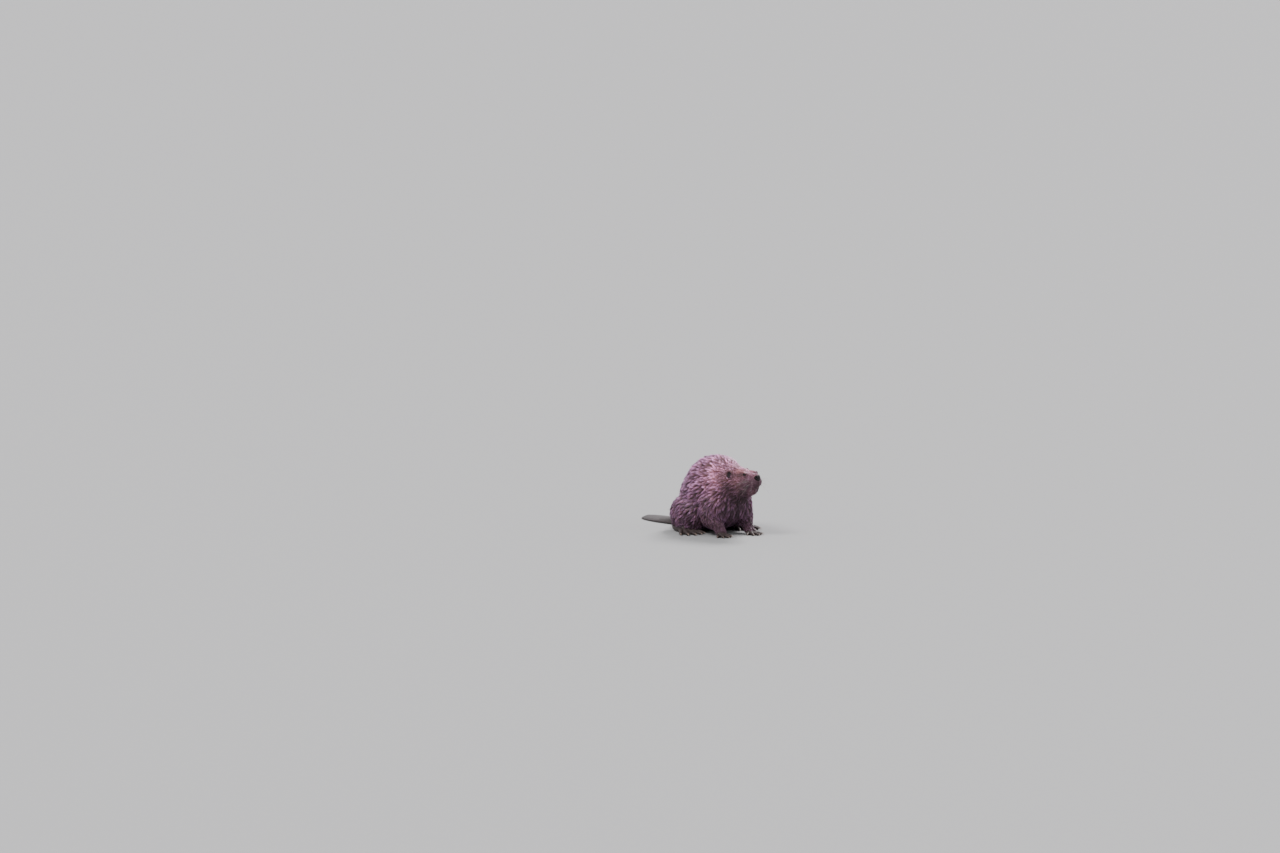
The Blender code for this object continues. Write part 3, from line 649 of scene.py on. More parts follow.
def wrapped_flesh():
    """(vertices, triangles) of one skin round the flesh, coarse where the coat hides it."""
    obj = object_of("wrap", flesh())
    remesh = obj.modifiers.new("wrap", "REMESH")
    remesh.mode = "VOXEL"
    remesh.voxel_size = SKIN_VOXEL * 1.0
    smooth = obj.modifiers.new("smooth", "SMOOTH")
    smooth.factor, smooth.iterations = 0.5, 4
    obj = object_of("wrap", applied(obj))
    fine = fine_places(arrays(obj.data)[0])
    group = obj.vertex_groups.new(name="coarse")
    group.add(np.flatnonzero(~fine).tolist(), 1.0, "REPLACE")
    decimate = obj.modifiers.new("thin", "DECIMATE")
    decimate.vertex_group = "coarse"
    decimate.ratio = min(1.0, (2.0 * fine.sum() + COARSE_TRIANGLES) / (2.0 * len(obj.data.polygons)))
    return arrays(applied(obj))


def refined(vertices, triangles, chosen):
    """The triangles with every edge between two chosen vertices halved."""
    bm = bmesh.new()
    bm.from_mesh(triangle_mesh("refined", vertices, triangles))
    bm.verts.ensure_lookup_table()
    edges = [e for e in bm.edges if chosen[e.verts[0].index] and chosen[e.verts[1].index]]
    bmesh.ops.subdivide_edges(bm, edges=edges, cuts=1, use_grid_fill=True, smooth=0.0)
    bmesh.ops.triangulate(bm, faces=bm.faces)
    return arrays(mesh_of(bm, "refined"))


def detailed(vertices, triangles):
    """The skin with finer triangles round the eyes and on the nose."""
    start, low, high = NOSE_DETAIL
    for number, reach in enumerate(EYE_DETAIL):
        near = np.zeros(len(vertices), bool)
        for centre in EYES.values():
            near |= np.linalg.norm(vertices - centre, axis=1) < reach
        if number == 0:
            ahead, _, up = on_head(vertices).T
            near |= (ahead > start) & (up > low) & (up < high)
        vertices, triangles = refined(vertices, triangles, near)
    return vertices, triangles


def capsule_distance(points, limb):
    """How far each point is from a round limb of (place, radius) joints."""
    found = np.full(len(points), 1e9)
    for (one, thick), (two, thin) in zip(limb, limb[1:]):
        share, away = off_line(points, np.array(one), np.array(two - one))
        found = np.minimum(found, away - thick - (thin - thick) * share)
    return found


def bare_distance(points):
    """How far each point is from the bare parts: hind feet, fore paws and tail paddle."""
    limit = FUR_STARTS[1] + FEET_MARGIN
    found = points[:, 0] - (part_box("tail_paddle")[1].x - TAIL_FUR_ENDS)
    for side, sign in SIDES.items():
        away = [capsule_distance(points, limb) for limb in foot_limbs(FEET["fore"], sign)[0]]
        found = np.minimum.reduce((found, *away[2:]))
        palm = np.minimum(*away[:2]) < PALM_REACH
        found = np.where(palm, np.minimum(found, points[:, 2] - PALM_UP), found)
        name = f"hind_foot_{side}"
        tree = tree_of(*arrays(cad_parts[name].data))
        close = np.flatnonzero(in_box(points, name, limit))
        for index, point in zip(close.tolist(), points[close].tolist()):
            distance = tree.find_nearest(point, limit)[3]
            if distance is not None:
                found[index] = min(found[index], distance)
    return found


def eye_axes(sign):
    """(out of the eye, forward along the lids, up) of one eye."""
    out = unit(AHEAD * EYE_OUT[0] + LEFT * EYE_OUT[1] * sign + UP * EYE_OUT[2])
    forward = unit(AHEAD - out * (AHEAD @ out) - UP * LID_TILT)
    forward = unit(forward - out * (forward @ out))
    return out, forward, unit(np.cross(out, forward) * sign)


def lid_ring(rays, sign):
    """How far each ray from the eye's middle lies from the opening's: 1 at the lids' edge. And how high."""
    out, forward, up = eye_axes(sign)
    along = np.arctan2(rays @ forward, rays @ out) / LID_HALF[0]
    over = np.arcsin(np.clip(rays @ up, -1, 1)) / LID_HALF[1]
    lower = np.where(over < 0, over * LOWER_LID, over)
    return (np.abs(along) ** LID_SQUARE + np.abs(lower) ** LID_SQUARE) ** (1 / LID_SQUARE), over


def shape_lids(vertices, masks):
    """Opens the skin over each eye, and folds two lids round it."""
    for side, sign in SIDES.items():
        rel = vertices - EYES[side]
        away = np.linalg.norm(rel, axis=1)
        ray = rel / np.maximum(away, 1e-9)[:, None]
        near = (away < EYE_REACH) & (ray @ eye_axes(sign)[0] > -0.35)
        ring, over = lid_ring(ray, sign)
        hidden, edge = EYE_RADIUS + LID_HIDDEN, EYE_RADIUS + LID_EDGE
        radius = hidden + (edge - hidden) * ramp(ring, 0.90, 1.05)
        radius += LID_PLUMP * ramp(ring, 1.02, 1.20) * (1 - ramp(ring, 1.24, 1.60))
        depth, place, width = LID_CREASE
        crease = -depth * peak((ring - place) / width) * np.where(over > 0, 1.0, 0.6)
        blend = ramp(ring, 1.30, 2.7)
        target = radius * (1 - blend) + away * blend + crease
        target = np.where(ring > 1.05, np.maximum(target, EYE_RADIUS + LID_LEAST), target)
        moved = np.where(near, target, away)
        vertices[:] = np.where(near[:, None], EYES[side] + ray * moved[:, None], vertices)
        masks["nose"] = np.maximum(masks["nose"], (1 - ramp(ring, 1.12, 1.32)) * near)
        masks["fur"] = np.minimum(masks["fur"], np.where(near, ramp(ring, 1.08, 1.34), 1.0))


def groove(local, path, width):
    """How near each place on the head is to a path across it, from 0 to 1 on it."""
    best = np.full(len(local), 1e9)
    for one, two in zip(np.array(path), np.array(path[1:])):
        best = np.minimum(best, off_line(local, one, two - one)[1])
    return peak(best / width)


def shape_muzzle(vertices, triangles, masks):
    """The nose pad with its nostrils, the cleft under it, and the line of the mouth."""
    normals = vertex_normals(vertices, triangles)
    ahead, side, up = on_head(vertices).T
    across = np.abs(side)
    half_width = PAD_HALF[0] - PAD_TAPER[1] * np.maximum(PAD_TAPER[0] - up, 0.0)
    oval = np.abs(across / half_width) ** PAD_POWER + np.abs((up - PAD_UP) / PAD_HALF[1]) ** PAD_POWER
    pad = (1 - ramp(oval, 0.78, 1.06)) * ramp(ahead, *PAD_STARTS)
    aside, over = across - NOSTRIL[0], up - NOSTRIL[1]
    lean, slope = NOSTRIL_LEAN
    nostril = ((aside - lean * over) / NOSTRIL[2]) ** 2 + ((over - slope * aside) / NOSTRIL[3]) ** 2
    slit = ((aside - SLIT[0]) / SLIT[2]) ** 2 + ((over - SLIT[1]) / SLIT[3]) ** 2
    nostril = np.where(ahead > 0.104, np.minimum(nostril, slit + 0.25), 9.0)
    hole = 1 - ramp(nostril, 0.30, 1.15)
    cleft = peak(side / CLEFT_WIDTH) * ramp(up, *CLEFT_LOW) * (1 - ramp(up, *CLEFT_HIGH))
    cleft *= ramp(ahead, *CLEFT_STARTS)
    mirrored = np.stack((ahead, across, up), axis=1)
    mouth = groove(mirrored, MOUTH, MOUTH_WIDTH)
    lips = groove(mirrored, MOUTH, LIPS_WIDTH) - mouth
    rim = peak((nostril - 1.9) / 0.8) * pad
    rise = PAD_RISE * pad + NOSTRIL_RISE * rim - CLEFT_DEEP * cleft - MOUTH_DEEP * mouth + LIPS_RISE * lips
    vertices += normals * rise[:, None]
    inward = -unit(AHEAD[None] * 0.8 + LEFT[None] * np.sign(side)[:, None] * 0.45)
    vertices += inward * (NOSTRIL_DEEP * hole)[:, None]
    masks["nose"] = np.maximum.reduce((masks["nose"], pad, ramp(mouth, 0.25, 0.5), hole, cleft * 0.9))
    bare = np.maximum.reduce((pad, ramp(mouth, 0.20, 0.55), ramp(cleft, 0.4, 0.9)))
    masks["fur"] = np.minimum(masks["fur"], 1 - bare)


def shape_feet(vertices, triangles, masks):
    """Flat soles, and creases across the toes."""
    normals = vertex_normals(vertices, triangles)
    bare = 1 - masks["fur"]
    for foot in FEET.values():
        for sign in SIDES.values():
            for toe in foot_limbs(foot, sign)[0][2:]:
                root, tip = np.array(toe[0][0]), np.array(toe[-1][0])
                length = np.linalg.norm(tip - root)
                axis = (tip - root) / length
                rel = vertices - root
                along = rel @ axis
                off = np.linalg.norm(rel - along[:, None] * axis, axis=1)
                on_toe = (1 - ramp(off, 0.0085, 0.0105)) * ramp(along, 0.10 * length, 0.22 * length)
                on_toe *= (1 - ramp(along, length * 0.98, length * 1.05)) * ramp(normals[:, 2], -0.1, 0.35)
                wave = np.abs(np.sin(along * math.pi / CREASE_GAP)) ** 0.6
                vertices += normals * ((wave - 0.7) * CREASE_DEPTH * on_toe * bare)[:, None]
    vertices[vertices[:, 2] < 0.0, 2] = 0.0


def ear_hollow_shade(vertices, normals):
    """1 in the dark hollow of an ear and just below it: partly the ear's own dark skin and hair, partly
    painted shade.
    """
    inside = np.zeros(len(vertices))
    for sign in SIDES.values():
        out, across, up = ear_axes(sign)
        rel = vertices - ear_centre(sign)
        high = (rel @ up / EAR_HALF[2] + EAR_DARK_DROP) / EAR_DARK_HIGH
        oval = np.hypot(rel @ across / (EAR_DARK_HALF * EAR_HALF[1]), high)
        near = (1 - ramp(oval, 0.72, 0.84)) * (np.abs(rel @ out) < 0.012)
        inside = np.maximum(inside, near * ramp(normals @ out, 0.1, 0.5))
    return inside


def unwrap(obj):
    """Lays the whole skin out flat on the map that paints it."""
    obj.data.uv_layers.new(name=PAINT_MAP)
    bpy.context.view_layer.objects.active = obj
    obj.select_set(True)
    bpy.ops.object.mode_set(mode="EDIT")
    bpy.ops.mesh.select_all(action="SELECT")
    bpy.ops.uv.smart_project(angle_limit=math.radians(72.0), island_margin=0.002)
    bpy.ops.object.mode_set(mode="OBJECT")
    obj.select_set(False)


def make_skin():
    vertices, triangles = detailed(*wrapped_flesh())
    fur = blurred(ramp(bare_distance(vertices), *FUR_STARTS), triangles, 4)[:, 0]
    masks = {"fur": fur, "nose": np.zeros(len(vertices))}
    normals = unit(blurred(vertex_normals(vertices, triangles), triangles, 6))
    _, values = coat_at(vertices)
    inset = SEAM_GROWTH + values[:, LIFT] * setting("coat").length * INSET * fur
    inset[fur < 0.02] = SEAM_GROWTH * 0.5
    vertices = vertices - normals * inset[:, None]
    vertices = blurred(vertices, triangles, 3, share=0.35 * fur)
    shape_muzzle(vertices, triangles, masks)
    shape_lids(vertices, masks)
    shape_feet(vertices, triangles, masks)
    inside = ear_hollow_shade(vertices, vertex_normals(vertices, triangles))
    # The skin under the coat is painted with the coat's markings and its painted highlight and shade.
    marks_and_light = np.stack((values[:, SHADE], values[:, WARM], np.zeros(len(vertices))), axis=1)
    bare = np.stack((masks["fur"], masks["nose"], inside), axis=1)
    mesh = triangle_mesh("skin", vertices, triangles, {"marks_and_light": marks_and_light, "bare": bare})
    unwrap(piece("skin", mesh, skin_finish(), FLESH + FEET_NODES + EAR_NODES))


# ---------------------------------------------------------------- growing tufts


@lru_cache(maxsize=None)
def skin_surface():
    """The skin as arrays, with a tree that finds the nearest place on it."""
    mesh = bpy.data.objects["skin"].data
    vertices, triangles = arrays(mesh)
    loops = np.empty(len(mesh.loop_triangles) * 3, np.int32)
    mesh.loop_triangles.foreach_get("loops", loops)
    uv = np.empty(len(mesh.loops) * 2, np.float32)
    mesh.uv_layers[PAINT_MAP].data.foreach_get("uv", uv)
    bare = np.empty(len(vertices) * 3, np.float32)
    mesh.attributes["bare"].data.foreach_get("vector", bare)
    return {
        "vertices": vertices,
        "triangles": triangles,
        "normals": vertex_normals(vertices, triangles),
        "uv": uv.reshape(-1, 2)[loops].reshape(-1, 3, 2).astype(float),
        "bare": bare.reshape(-1, 3).astype(float),
        "tree": tree_of(vertices, triangles),
    }


def scattered(random, weights):
    """Roots on the skin, as many to the square metre as the triangles' weights say.

    Gives their (points, normals, map places, bare masks)."""
    skin = skin_surface()
    corners = skin["vertices"][skin["triangles"]]
    area = np.linalg.norm(np.cross(corners[:, 1] - corners[:, 0], corners[:, 2] - corners[:, 0]), axis=1) / 2
    running = np.cumsum(area * weights)
    count = int(running[-1])
    chosen = np.searchsorted(running, (np.arange(count) + random.random(count)) / count * running[-1])
    chosen = np.minimum(chosen, len(area) - 1)
    one, two = np.sqrt(random.random(count)), random.random(count)
    shares = np.stack((1 - one, one * (1 - two), one * two), axis=1)[:, :, None]
    picked = skin["triangles"][chosen]
    found = (corners[chosen], skin["normals"][picked], skin["uv"][chosen], skin["bare"][picked])
    points, normals, uv, bare = ((values * shares).sum(axis=1) for values in found)
    return points, unit(normals), uv, bare


def spaced(points, gaps):
    """Indices of points, in their order, that keep their gap from those before."""
    cell = gaps.max()
    taken, kept = {}, []
    keys = np.floor(points / cell).astype(int).tolist()
    for index, (key, at, square) in enumerate(zip(keys, points.tolist(), (gaps**2).tolist())):
        i, j, k = key
        near = (
            other
            for x in (i - 1, i, i + 1)
            for y in (j - 1, j, j + 1)
            for z in (k - 1, k, k + 1)
            for other in taken.get((x, y, z), ())
        )
        if all((at[0] - o[0]) ** 2 + (at[1] - o[1]) ** 2 + (at[2] - o[2]) ** 2 >= square for o in near):
            taken.setdefault((i, j, k), []).append(at)
            kept.append(index)
    return np.array(kept)


def guides(random, centres, normals):
    """Paths of the locks: (paths, normals along them), each lifting off the skin as it goes."""
    tree = skin_surface()["tree"]
    coat = setting("coat")
    count = len(centres)
    _, values = coat_at(centres)
    length = values[:, LENGTH] * coat.length * random.uniform(0.78, 1.20, count)
    yaw = random.normal(0.0, 0.16, count)
    lift = values[:, LIFT] * coat.length * random.uniform(0.66, 1.14, count)
    on_skin, normal = centres.copy(), normals.copy()
    paths, ways = [centres - normals * 0.0003], [normals]
    for step in range(1, GUIDE_STEPS + 1):
        flow, _ = coat_at(on_skin)
        along = unit(flow - normal * (flow * normal).sum(axis=1, keepdims=True))
        across = np.cross(normal, along)
        bend = yaw * (1.0 - 0.6 * step / GUIDE_STEPS)
        along = along * np.cos(bend)[:, None] + across * np.sin(bend)[:, None]
        ahead = on_skin + along * (length / GUIDE_STEPS)[:, None]
        near = [tree.find_nearest(point) for point in ahead.tolist()]
        on_skin = np.array([hit[0] for hit in near])
        normal = unit(0.5 * normal + np.array([hit[1] for hit in near]))
        height = lift * math.sin(0.5 * math.pi * step / GUIDE_STEPS) ** 0.85
        paths.append(on_skin + normal * height[:, None])
        ways.append(normal)
    return np.stack(paths, axis=1), np.stack(ways, axis=1)


def along_paths(paths, which, shares):
    """Places at a share of the length of the chosen paths."""
    place = np.clip(shares, 0.0, 0.9999) * (paths.shape[1] - 1)
    low = place.astype(int)
    rest = (place - low)[:, None]
    return paths[which, low] * (1 - rest) + paths[which, low + 1] * rest


def tuft_arrays(centre_lines, normals, widths, rings, roots_uv):
    """(vertices, triangles, along, across, uv) of closed three-sided tufts.

    centre_lines are (tufts, rings + 1, 3)."""
    count = len(centre_lines)
    forward = np.gradient(centre_lines, axis=1)
    across = unit(np.cross(forward, normals))
    over = unit(np.cross(across, forward))
    size = 3 * len(rings) + 1
    vertices = np.empty((count, size, 3))
    patch = np.empty((size, 2))
    for ring, (share, girth) in enumerate(rings):
        half = (widths * girth / 2)[:, None]
        for corner, (aside, rise, place) in enumerate(TUFT_SECTION):
            vertices[:, 3 * ring + corner] = (
                centre_lines[:, ring] + across[:, ring] * aside * half + over[:, ring] * rise * half
            )
            patch[3 * ring + corner] = (place, share)
    vertices[:, -1] = centre_lines[:, -1]
    patch[-1] = (0.5, 1.0)
    one = [(0, 1, 2)]
    for ring in range(len(rings) - 1):
        for corner in range(3):
            low, next_low = 3 * ring + corner, 3 * ring + (corner + 1) % 3
            one += [(low, low + 3, next_low), (next_low, low + 3, next_low + 3)]
    last = 3 * (len(rings) - 1)
    one += [(last + corner, size - 1, last + (corner + 1) % 3) for corner in range(3)]
    uv = np.clip(roots_uv[:, None, :] + (patch[np.ravel(one)] - 0.5)[None] * PATCH, 0.0, 1.0)
    along, across = np.tile(patch[:, 1], count), np.tile(patch[:, 0], count)
    return vertices.reshape(-1, 3), repeated(one, count, size), along, across, uv.reshape(-1, 2)


def clear_of_eyes(lines):
    """True for tufts that don't cross an eye."""
    clear = np.ones(len(lines), bool)
    for side, sign in SIDES.items():
        rel = lines - EYES[side]
        away = np.linalg.norm(rel, axis=2)
        ring, _ = lid_ring(rel / np.maximum(away, 1e-9)[:, :, None], sign)
        ahead = rel @ eye_axes(sign)[0] > 0
        clear &= ~((away < 0.013) & (ring < 1.06) & ahead).any(axis=1)
    return clear


def plant_locks(random, cover, values):
    """The locks: their middles and tones, their paths and the normals along those."""
    centres, normals, _, _ = scattered(random, cover / values[:, LOCK_GAP] ** 2 * LOCK_TRIES)
    order = random.permutation(len(centres))
    centres, normals = centres[order], normals[order]
    kept = spaced(centres, coat_at(centres)[1][:, LOCK_GAP])
    centres, normals = centres[kept], normals[kept]
    paths, ways = guides(random, centres, normals)
    return {"centres": centres, "paths": paths, "ways": ways, "tone": random.random(len(centres))}


def nearest(points, places):
    """The index of the place nearest each point."""
    tree = KDTree(len(places))
    for index, place in enumerate(places.tolist()):
        tree.insert(place, index)
    tree.balance()
    return np.array([tree.find(point)[1] for point in points.tolist()])


def plant_tufts(random, cover, values, locks):
    """The tufts: their roots, with the masks and the coat there, and how each follows its lock."""
    density = setting("coat").density * 1.0
    layers = LAYERS * (0.80 + 0.20 * ramp(values[:, LENGTH], 0.006, 0.02))
    wanted = cover * layers * density / (values[:, WIDTH] * values[:, LENGTH])
    roots, _, uv, bare = scattered(random, wanted)
    lock = nearest(roots, locks["centres"])
    _, coat = coat_at(roots)
    reach = random.uniform(0.70, 1.0, len(roots))
    gather = random.uniform(0.78, 1.0, len(roots))
    wobble = random.normal(0.0, 1.0, (len(roots), 3)) * (coat[:, WIDTH] * 0.55)[:, None]
    reach *= 0.45 + 0.55 * ramp(bare[:, 0], 0.1, 0.9)
    return {
        "roots": roots,
        "uv": uv,
        "bare": bare,
        "coat": coat,
        "marks_and_light": np.stack((coat[:, SHADE], coat[:, WARM], bare[:, 2]), axis=1),
        "lock": lock,
        "offset": roots - locks["centres"][lock],
        "reach": reach,
        "gather": gather,
        "wobble": wobble,
    }


def tuft_lines(tufts, locks, chosen, shares):
    """(lines, normals along them) of the chosen tufts: from its root, each bends into its lock."""
    lock = tufts["lock"][chosen]
    lines, ways = [], []
    for share in shares:
        at = tufts["reach"][chosen] * share
        pull = 1 - tufts["gather"][chosen] * at**1.25
        path = along_paths(locks["paths"], lock, at)
        lines.append(path + tufts["offset"][chosen] * pull[:, None] + tufts["wobble"][chosen] * share**1.5)
        ways.append(along_paths(locks["ways"], lock, at))
    return np.stack(lines, axis=1), unit(np.stack(ways, axis=1))


def with_guard_hairs(random, lines, ways, girth, chosen, shares):
    """The tufts and, after them, single long hairs that follow some of them and stand a little clear."""
    guard = random.choice(len(chosen), int(GUARD_SHARE * len(chosen)), replace=False)
    roots = lines[guard, :1]
    clear = random.uniform(0.0004, 0.0024, len(guard))[:, None, None] * (shares**1.4)[None, :, None]
    longer = random.uniform(1.08, 1.26, len(guard))[:, None, None]
    single = roots + (lines[guard] - roots) * longer + ways[guard] * clear
    return (
        np.concatenate((lines, single)),
        np.concatenate((ways, ways[guard])),
        np.concatenate((girth, np.full(len(guard), GUARD_GIRTH))),
        np.concatenate((chosen, chosen[guard])),
    )


def group_names(points):
    """The part of the body that each point of skin belongs to."""
    names = np.full(len(points), "trunk", dtype=object)
    names[(on_head(points)[:, 0] > 0.0) & (points[:, 2] > 0.13)] = "head"
    names[points[:, 2] < 0.075] = "underside"
    names[points[:, 0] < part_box("tail_root")[1].x] = "tail_root"
    return names


def coat_mesh(random, tufts, locks, index, rings, lines, ways, girth):
    """Some of the tufts as one mesh."""
    widths = tufts["coat"][index, WIDTH] * girth
    vertices, triangles, along, across, uv = tuft_arrays(lines, ways, widths, rings, tufts["uv"][index])
    vertices[:, 2] = np.maximum(vertices[:, 2], 0.0004)
    each = len(vertices) // len(index)
    tone = np.repeat(np.where(girth < GUARD_GIRTH * 1.01, 1.3, random.random(len(index))), each)
    lock_tone = np.repeat(locks["tone"][tufts["lock"][index]], each)
    stores = {
        "hair": np.stack((along, tone, lock_tone), axis=1),
        "marks_and_light": np.repeat(tufts["marks_and_light"][index], each, axis=0),
        "strand": np.stack((across + tone * 90.0, along * 0.30, tone * 40.0), axis=1),
    }
    return triangle_mesh("coat", vertices, triangles, stores, uv)


def make_coat():
    random = np.random.default_rng(COAT_SEED)
    skin = skin_surface()
    corners = skin["triangles"]
    _, values = coat_at(skin["vertices"][corners].mean(axis=1))
    cover = ramp(skin["bare"][corners, 0].mean(axis=1), 0.25, 0.8)
    cover *= 1 - 0.35 * ramp(skin["bare"][corners, 2].mean(axis=1), 0.2, 0.6)
    locks = plant_locks(random, cover, values)
    tufts = plant_tufts(random, cover, values, locks)
    long = tufts["coat"][:, LENGTH] >= LONG_TUFT
    groups = group_names(tufts["roots"])
    made = 0
    for name in sorted(set(groups.tolist())):
        for rings in (SHORT_RINGS, LONG_RINGS):
            chosen = np.flatnonzero((groups == name) & (long == (rings is LONG_RINGS)))
            if not len(chosen):
                continue
            shares = np.array([share for share, _ in rings] + [1.0])
            lines, ways = tuft_lines(tufts, locks, chosen, shares)
            girth = random.uniform(0.70, 1.25, len(chosen)) * (1 - 0.35 * tufts["bare"][chosen, 2])
            if rings is LONG_RINGS:
                lines, ways, girth, chosen = with_guard_hairs(random, lines, ways, girth, chosen, shares)
            clear = clear_of_eyes(lines)
            lines, ways, girth, chosen = lines[clear], ways[clear], girth[clear], chosen[clear]
            order = np.argsort(tufts["roots"][chosen, 0])
            for part in np.array_split(order, max(1, math.ceil(len(order) / PIECE_TUFTS))):
                made += 1
                index = chosen[part]
                mesh = coat_mesh(random, tufts, locks, index, rings, lines[part], ways[part], girth[part])
                piece(f"coat_{name}_{made}", mesh, coat_finish())


# ---------------------------------------------------------------- finishes


def new_finish(name, roughness, **sockets):
    """(material, nodes, shader): a material whose constant values are on the shader's own sockets."""
    made = bpy.data.materials.new(name)
    made.use_nodes = True
    tree = made.node_tree
    shader = tree.nodes["Principled BSDF"]
    shader.inputs["Roughness"].default_value = roughness
    for socket, value in sockets.items():
        shader.inputs[socket.replace("_", " ")].default_value = value
    return made, tree, shader


def add_node(tree, kind, **values):
    """A node, with its properties and inputs by name."""
    made = tree.nodes.new(kind)
    for key, value in values.items():
        if hasattr(made, key):
            setattr(made, key, value)
        else:
            made.inputs[key.replace("_", " ")].default_value = value
    return made


def joined(tree, socket, value):
    """Gives a socket its value: another socket, a number or a colour."""
    if isinstance(value, bpy.types.NodeSocket):
        tree.links.new(value, socket)
    elif isinstance(value, (int, float)):
        socket.default_value = value
    else:
        socket.default_value = (*value, 1.0)


def maths(tree, operation, one, two, clamp=False):
    made = add_node(tree, "ShaderNodeMath", operation=operation, use_clamp=clamp)
    for socket, value in zip(made.inputs, (one, two)):
        joined(tree, socket, value)
    return made.outputs[0]


def plus(tree, one, two, clamp=False):
    return maths(tree, "ADD", one, two, clamp)


def product(tree, one, two):
    return maths(tree, "MULTIPLY", one, two)


def spread(tree, value, low, high):
    """A value from 0 to 1, as one from low to high."""
    return plus(tree, product(tree, value, high - low), low)


def mixed(tree, share, one, two, blend="MIX"):
    """A mix of two colours, each a socket or three numbers."""
    made = add_node(tree, "ShaderNodeMix", data_type="RGBA", blend_type=blend)
    for number, value in zip((0, 6, 7), (share, one, two)):
        joined(tree, made.inputs[number], value)
    return made.outputs[2]


def dimmed(tree, colour, tone):
    """The colour times a tone."""
    grey = tree.nodes.new("ShaderNodeCombineColor")
    for socket in grey.inputs:
        tree.links.new(tone, socket)
    return mixed(tree, 1.0, colour, grey.outputs[0], "MULTIPLY")


def times(colour, share):
    """A setting's colour, lighter or darker."""
    return tuple(c * share for c in colour)


def stored(tree, name):
    """The three values that a mesh stores under a name."""
    attribute = add_node(tree, "ShaderNodeAttribute", attribute_name=name)
    apart = tree.nodes.new("ShaderNodeSeparateXYZ")
    tree.links.new(attribute.outputs["Vector"], apart.inputs[0])
    return apart.outputs


def stored_value(tree, name):
    return add_node(tree, "ShaderNodeAttribute", attribute_name=name).outputs["Fac"]


def noise_value(tree, scale, detail=3.0, stretch=(1.0, 1.0, 1.0)):
    place = tree.nodes.new("ShaderNodeTexCoord").outputs["Object"]
    mapping = add_node(tree, "ShaderNodeMapping", Scale=stretch)
    tree.links.new(place, mapping.inputs["Vector"])
    made = add_node(tree, "ShaderNodeTexNoise", Scale=scale, Detail=detail)
    tree.links.new(mapping.outputs[0], made.inputs["Vector"])
    return made.outputs["Fac"]


def ramp_of(tree, value, stops):
    """A colour ramp of (place, colour) stops."""
    made = tree.nodes.new("ShaderNodeValToRGB")
    elements = made.color_ramp.elements
    while len(elements) < len(stops):
        elements.new(0.5)
    for element, (place, colour) in zip(elements, stops):
        element.position = place
        element.color = (*colour, 1.0)
    tree.links.new(value, made.inputs[0])
    return made.outputs[0]


def coloured(tree, shader, colour):
    tree.links.new(colour, shader.inputs["Base Color"])


def bumped(tree, shader, height, strength, distance):
    bump = add_node(tree, "ShaderNodeBump", Strength=strength, Distance=distance)
    tree.links.new(height, bump.inputs["Height"])
    tree.links.new(bump.outputs[0], shader.inputs["Normal"])


def marked_and_lit(tree, colour, marks_and_light):
    """A colour with the beaver's markings and painted light, in soft blotches: a warm face, and a pale back
    and dark underside that are partly markings and partly painted highlight and painted shade.
    """
    shade, warmth, _ = marks_and_light
    streaks = noise_value(tree, 62.0, 1.5, (0.45, 1.0, 1.0))
    blotches = product(tree, noise_value(tree, 16.0, 2.0), 0.40)
    tone = plus(tree, product(tree, streaks, 1.30), plus(tree, blotches, 0.15))
    tone = product(tree, shade, tone)
    colour = mixed(tree, product(tree, warmth, 0.42), colour, setting("coat").warm)
    return dimmed(tree, colour, tone)


@lru_cache(maxsize=None)
def coat_finish():
    coat = setting("coat")
    made, tree, shader = new_finish(
        "wet_fur", coat.roughness, Coat_Weight=0.35, Coat_Roughness=0.24, Specular_IOR_Level=0.5
    )
    along, tone, lock = stored(tree, "hair")
    marks_and_light = stored(tree, "marks_and_light")
    strand = add_node(tree, "ShaderNodeAttribute", attribute_name="strand").outputs["Vector"]
    hairs = add_node(tree, "ShaderNodeTexNoise", Scale=3.6, Detail=2.0)
    tree.links.new(strand, hairs.inputs["Vector"])
    hairs = hairs.outputs["Fac"]
    place = plus(tree, along, spread(tree, tone, -0.17, 0.17))
    place = plus(tree, place, spread(tree, hairs, -0.30, 0.30), True)
    # Towards the tips the hair turns pale mauve: partly its own colour, partly painted sheen of light on wet
    # fur.
    colour = ramp_of(tree, place, [(0.04, coat.root), (0.50, coat.middle), (1.0, coat.tip)])
    colour = dimmed(tree, colour, spread(tree, lock, 0.34, 1.62))
    # The coat's markings, with the painted highlight and painted shade of the coat tables.
    colour = marked_and_lit(tree, colour, marks_and_light)
    # Hair in and just below an ear's hollow is painted near black: partly its own dark colour, partly painted
    # shade.
    colour = mixed(tree, product(tree, marks_and_light[2], 0.93), colour, setting("skin").nose)
    coloured(tree, shader, colour)
    bumped(tree, shader, hairs, 0.5, 0.0006)
    return made


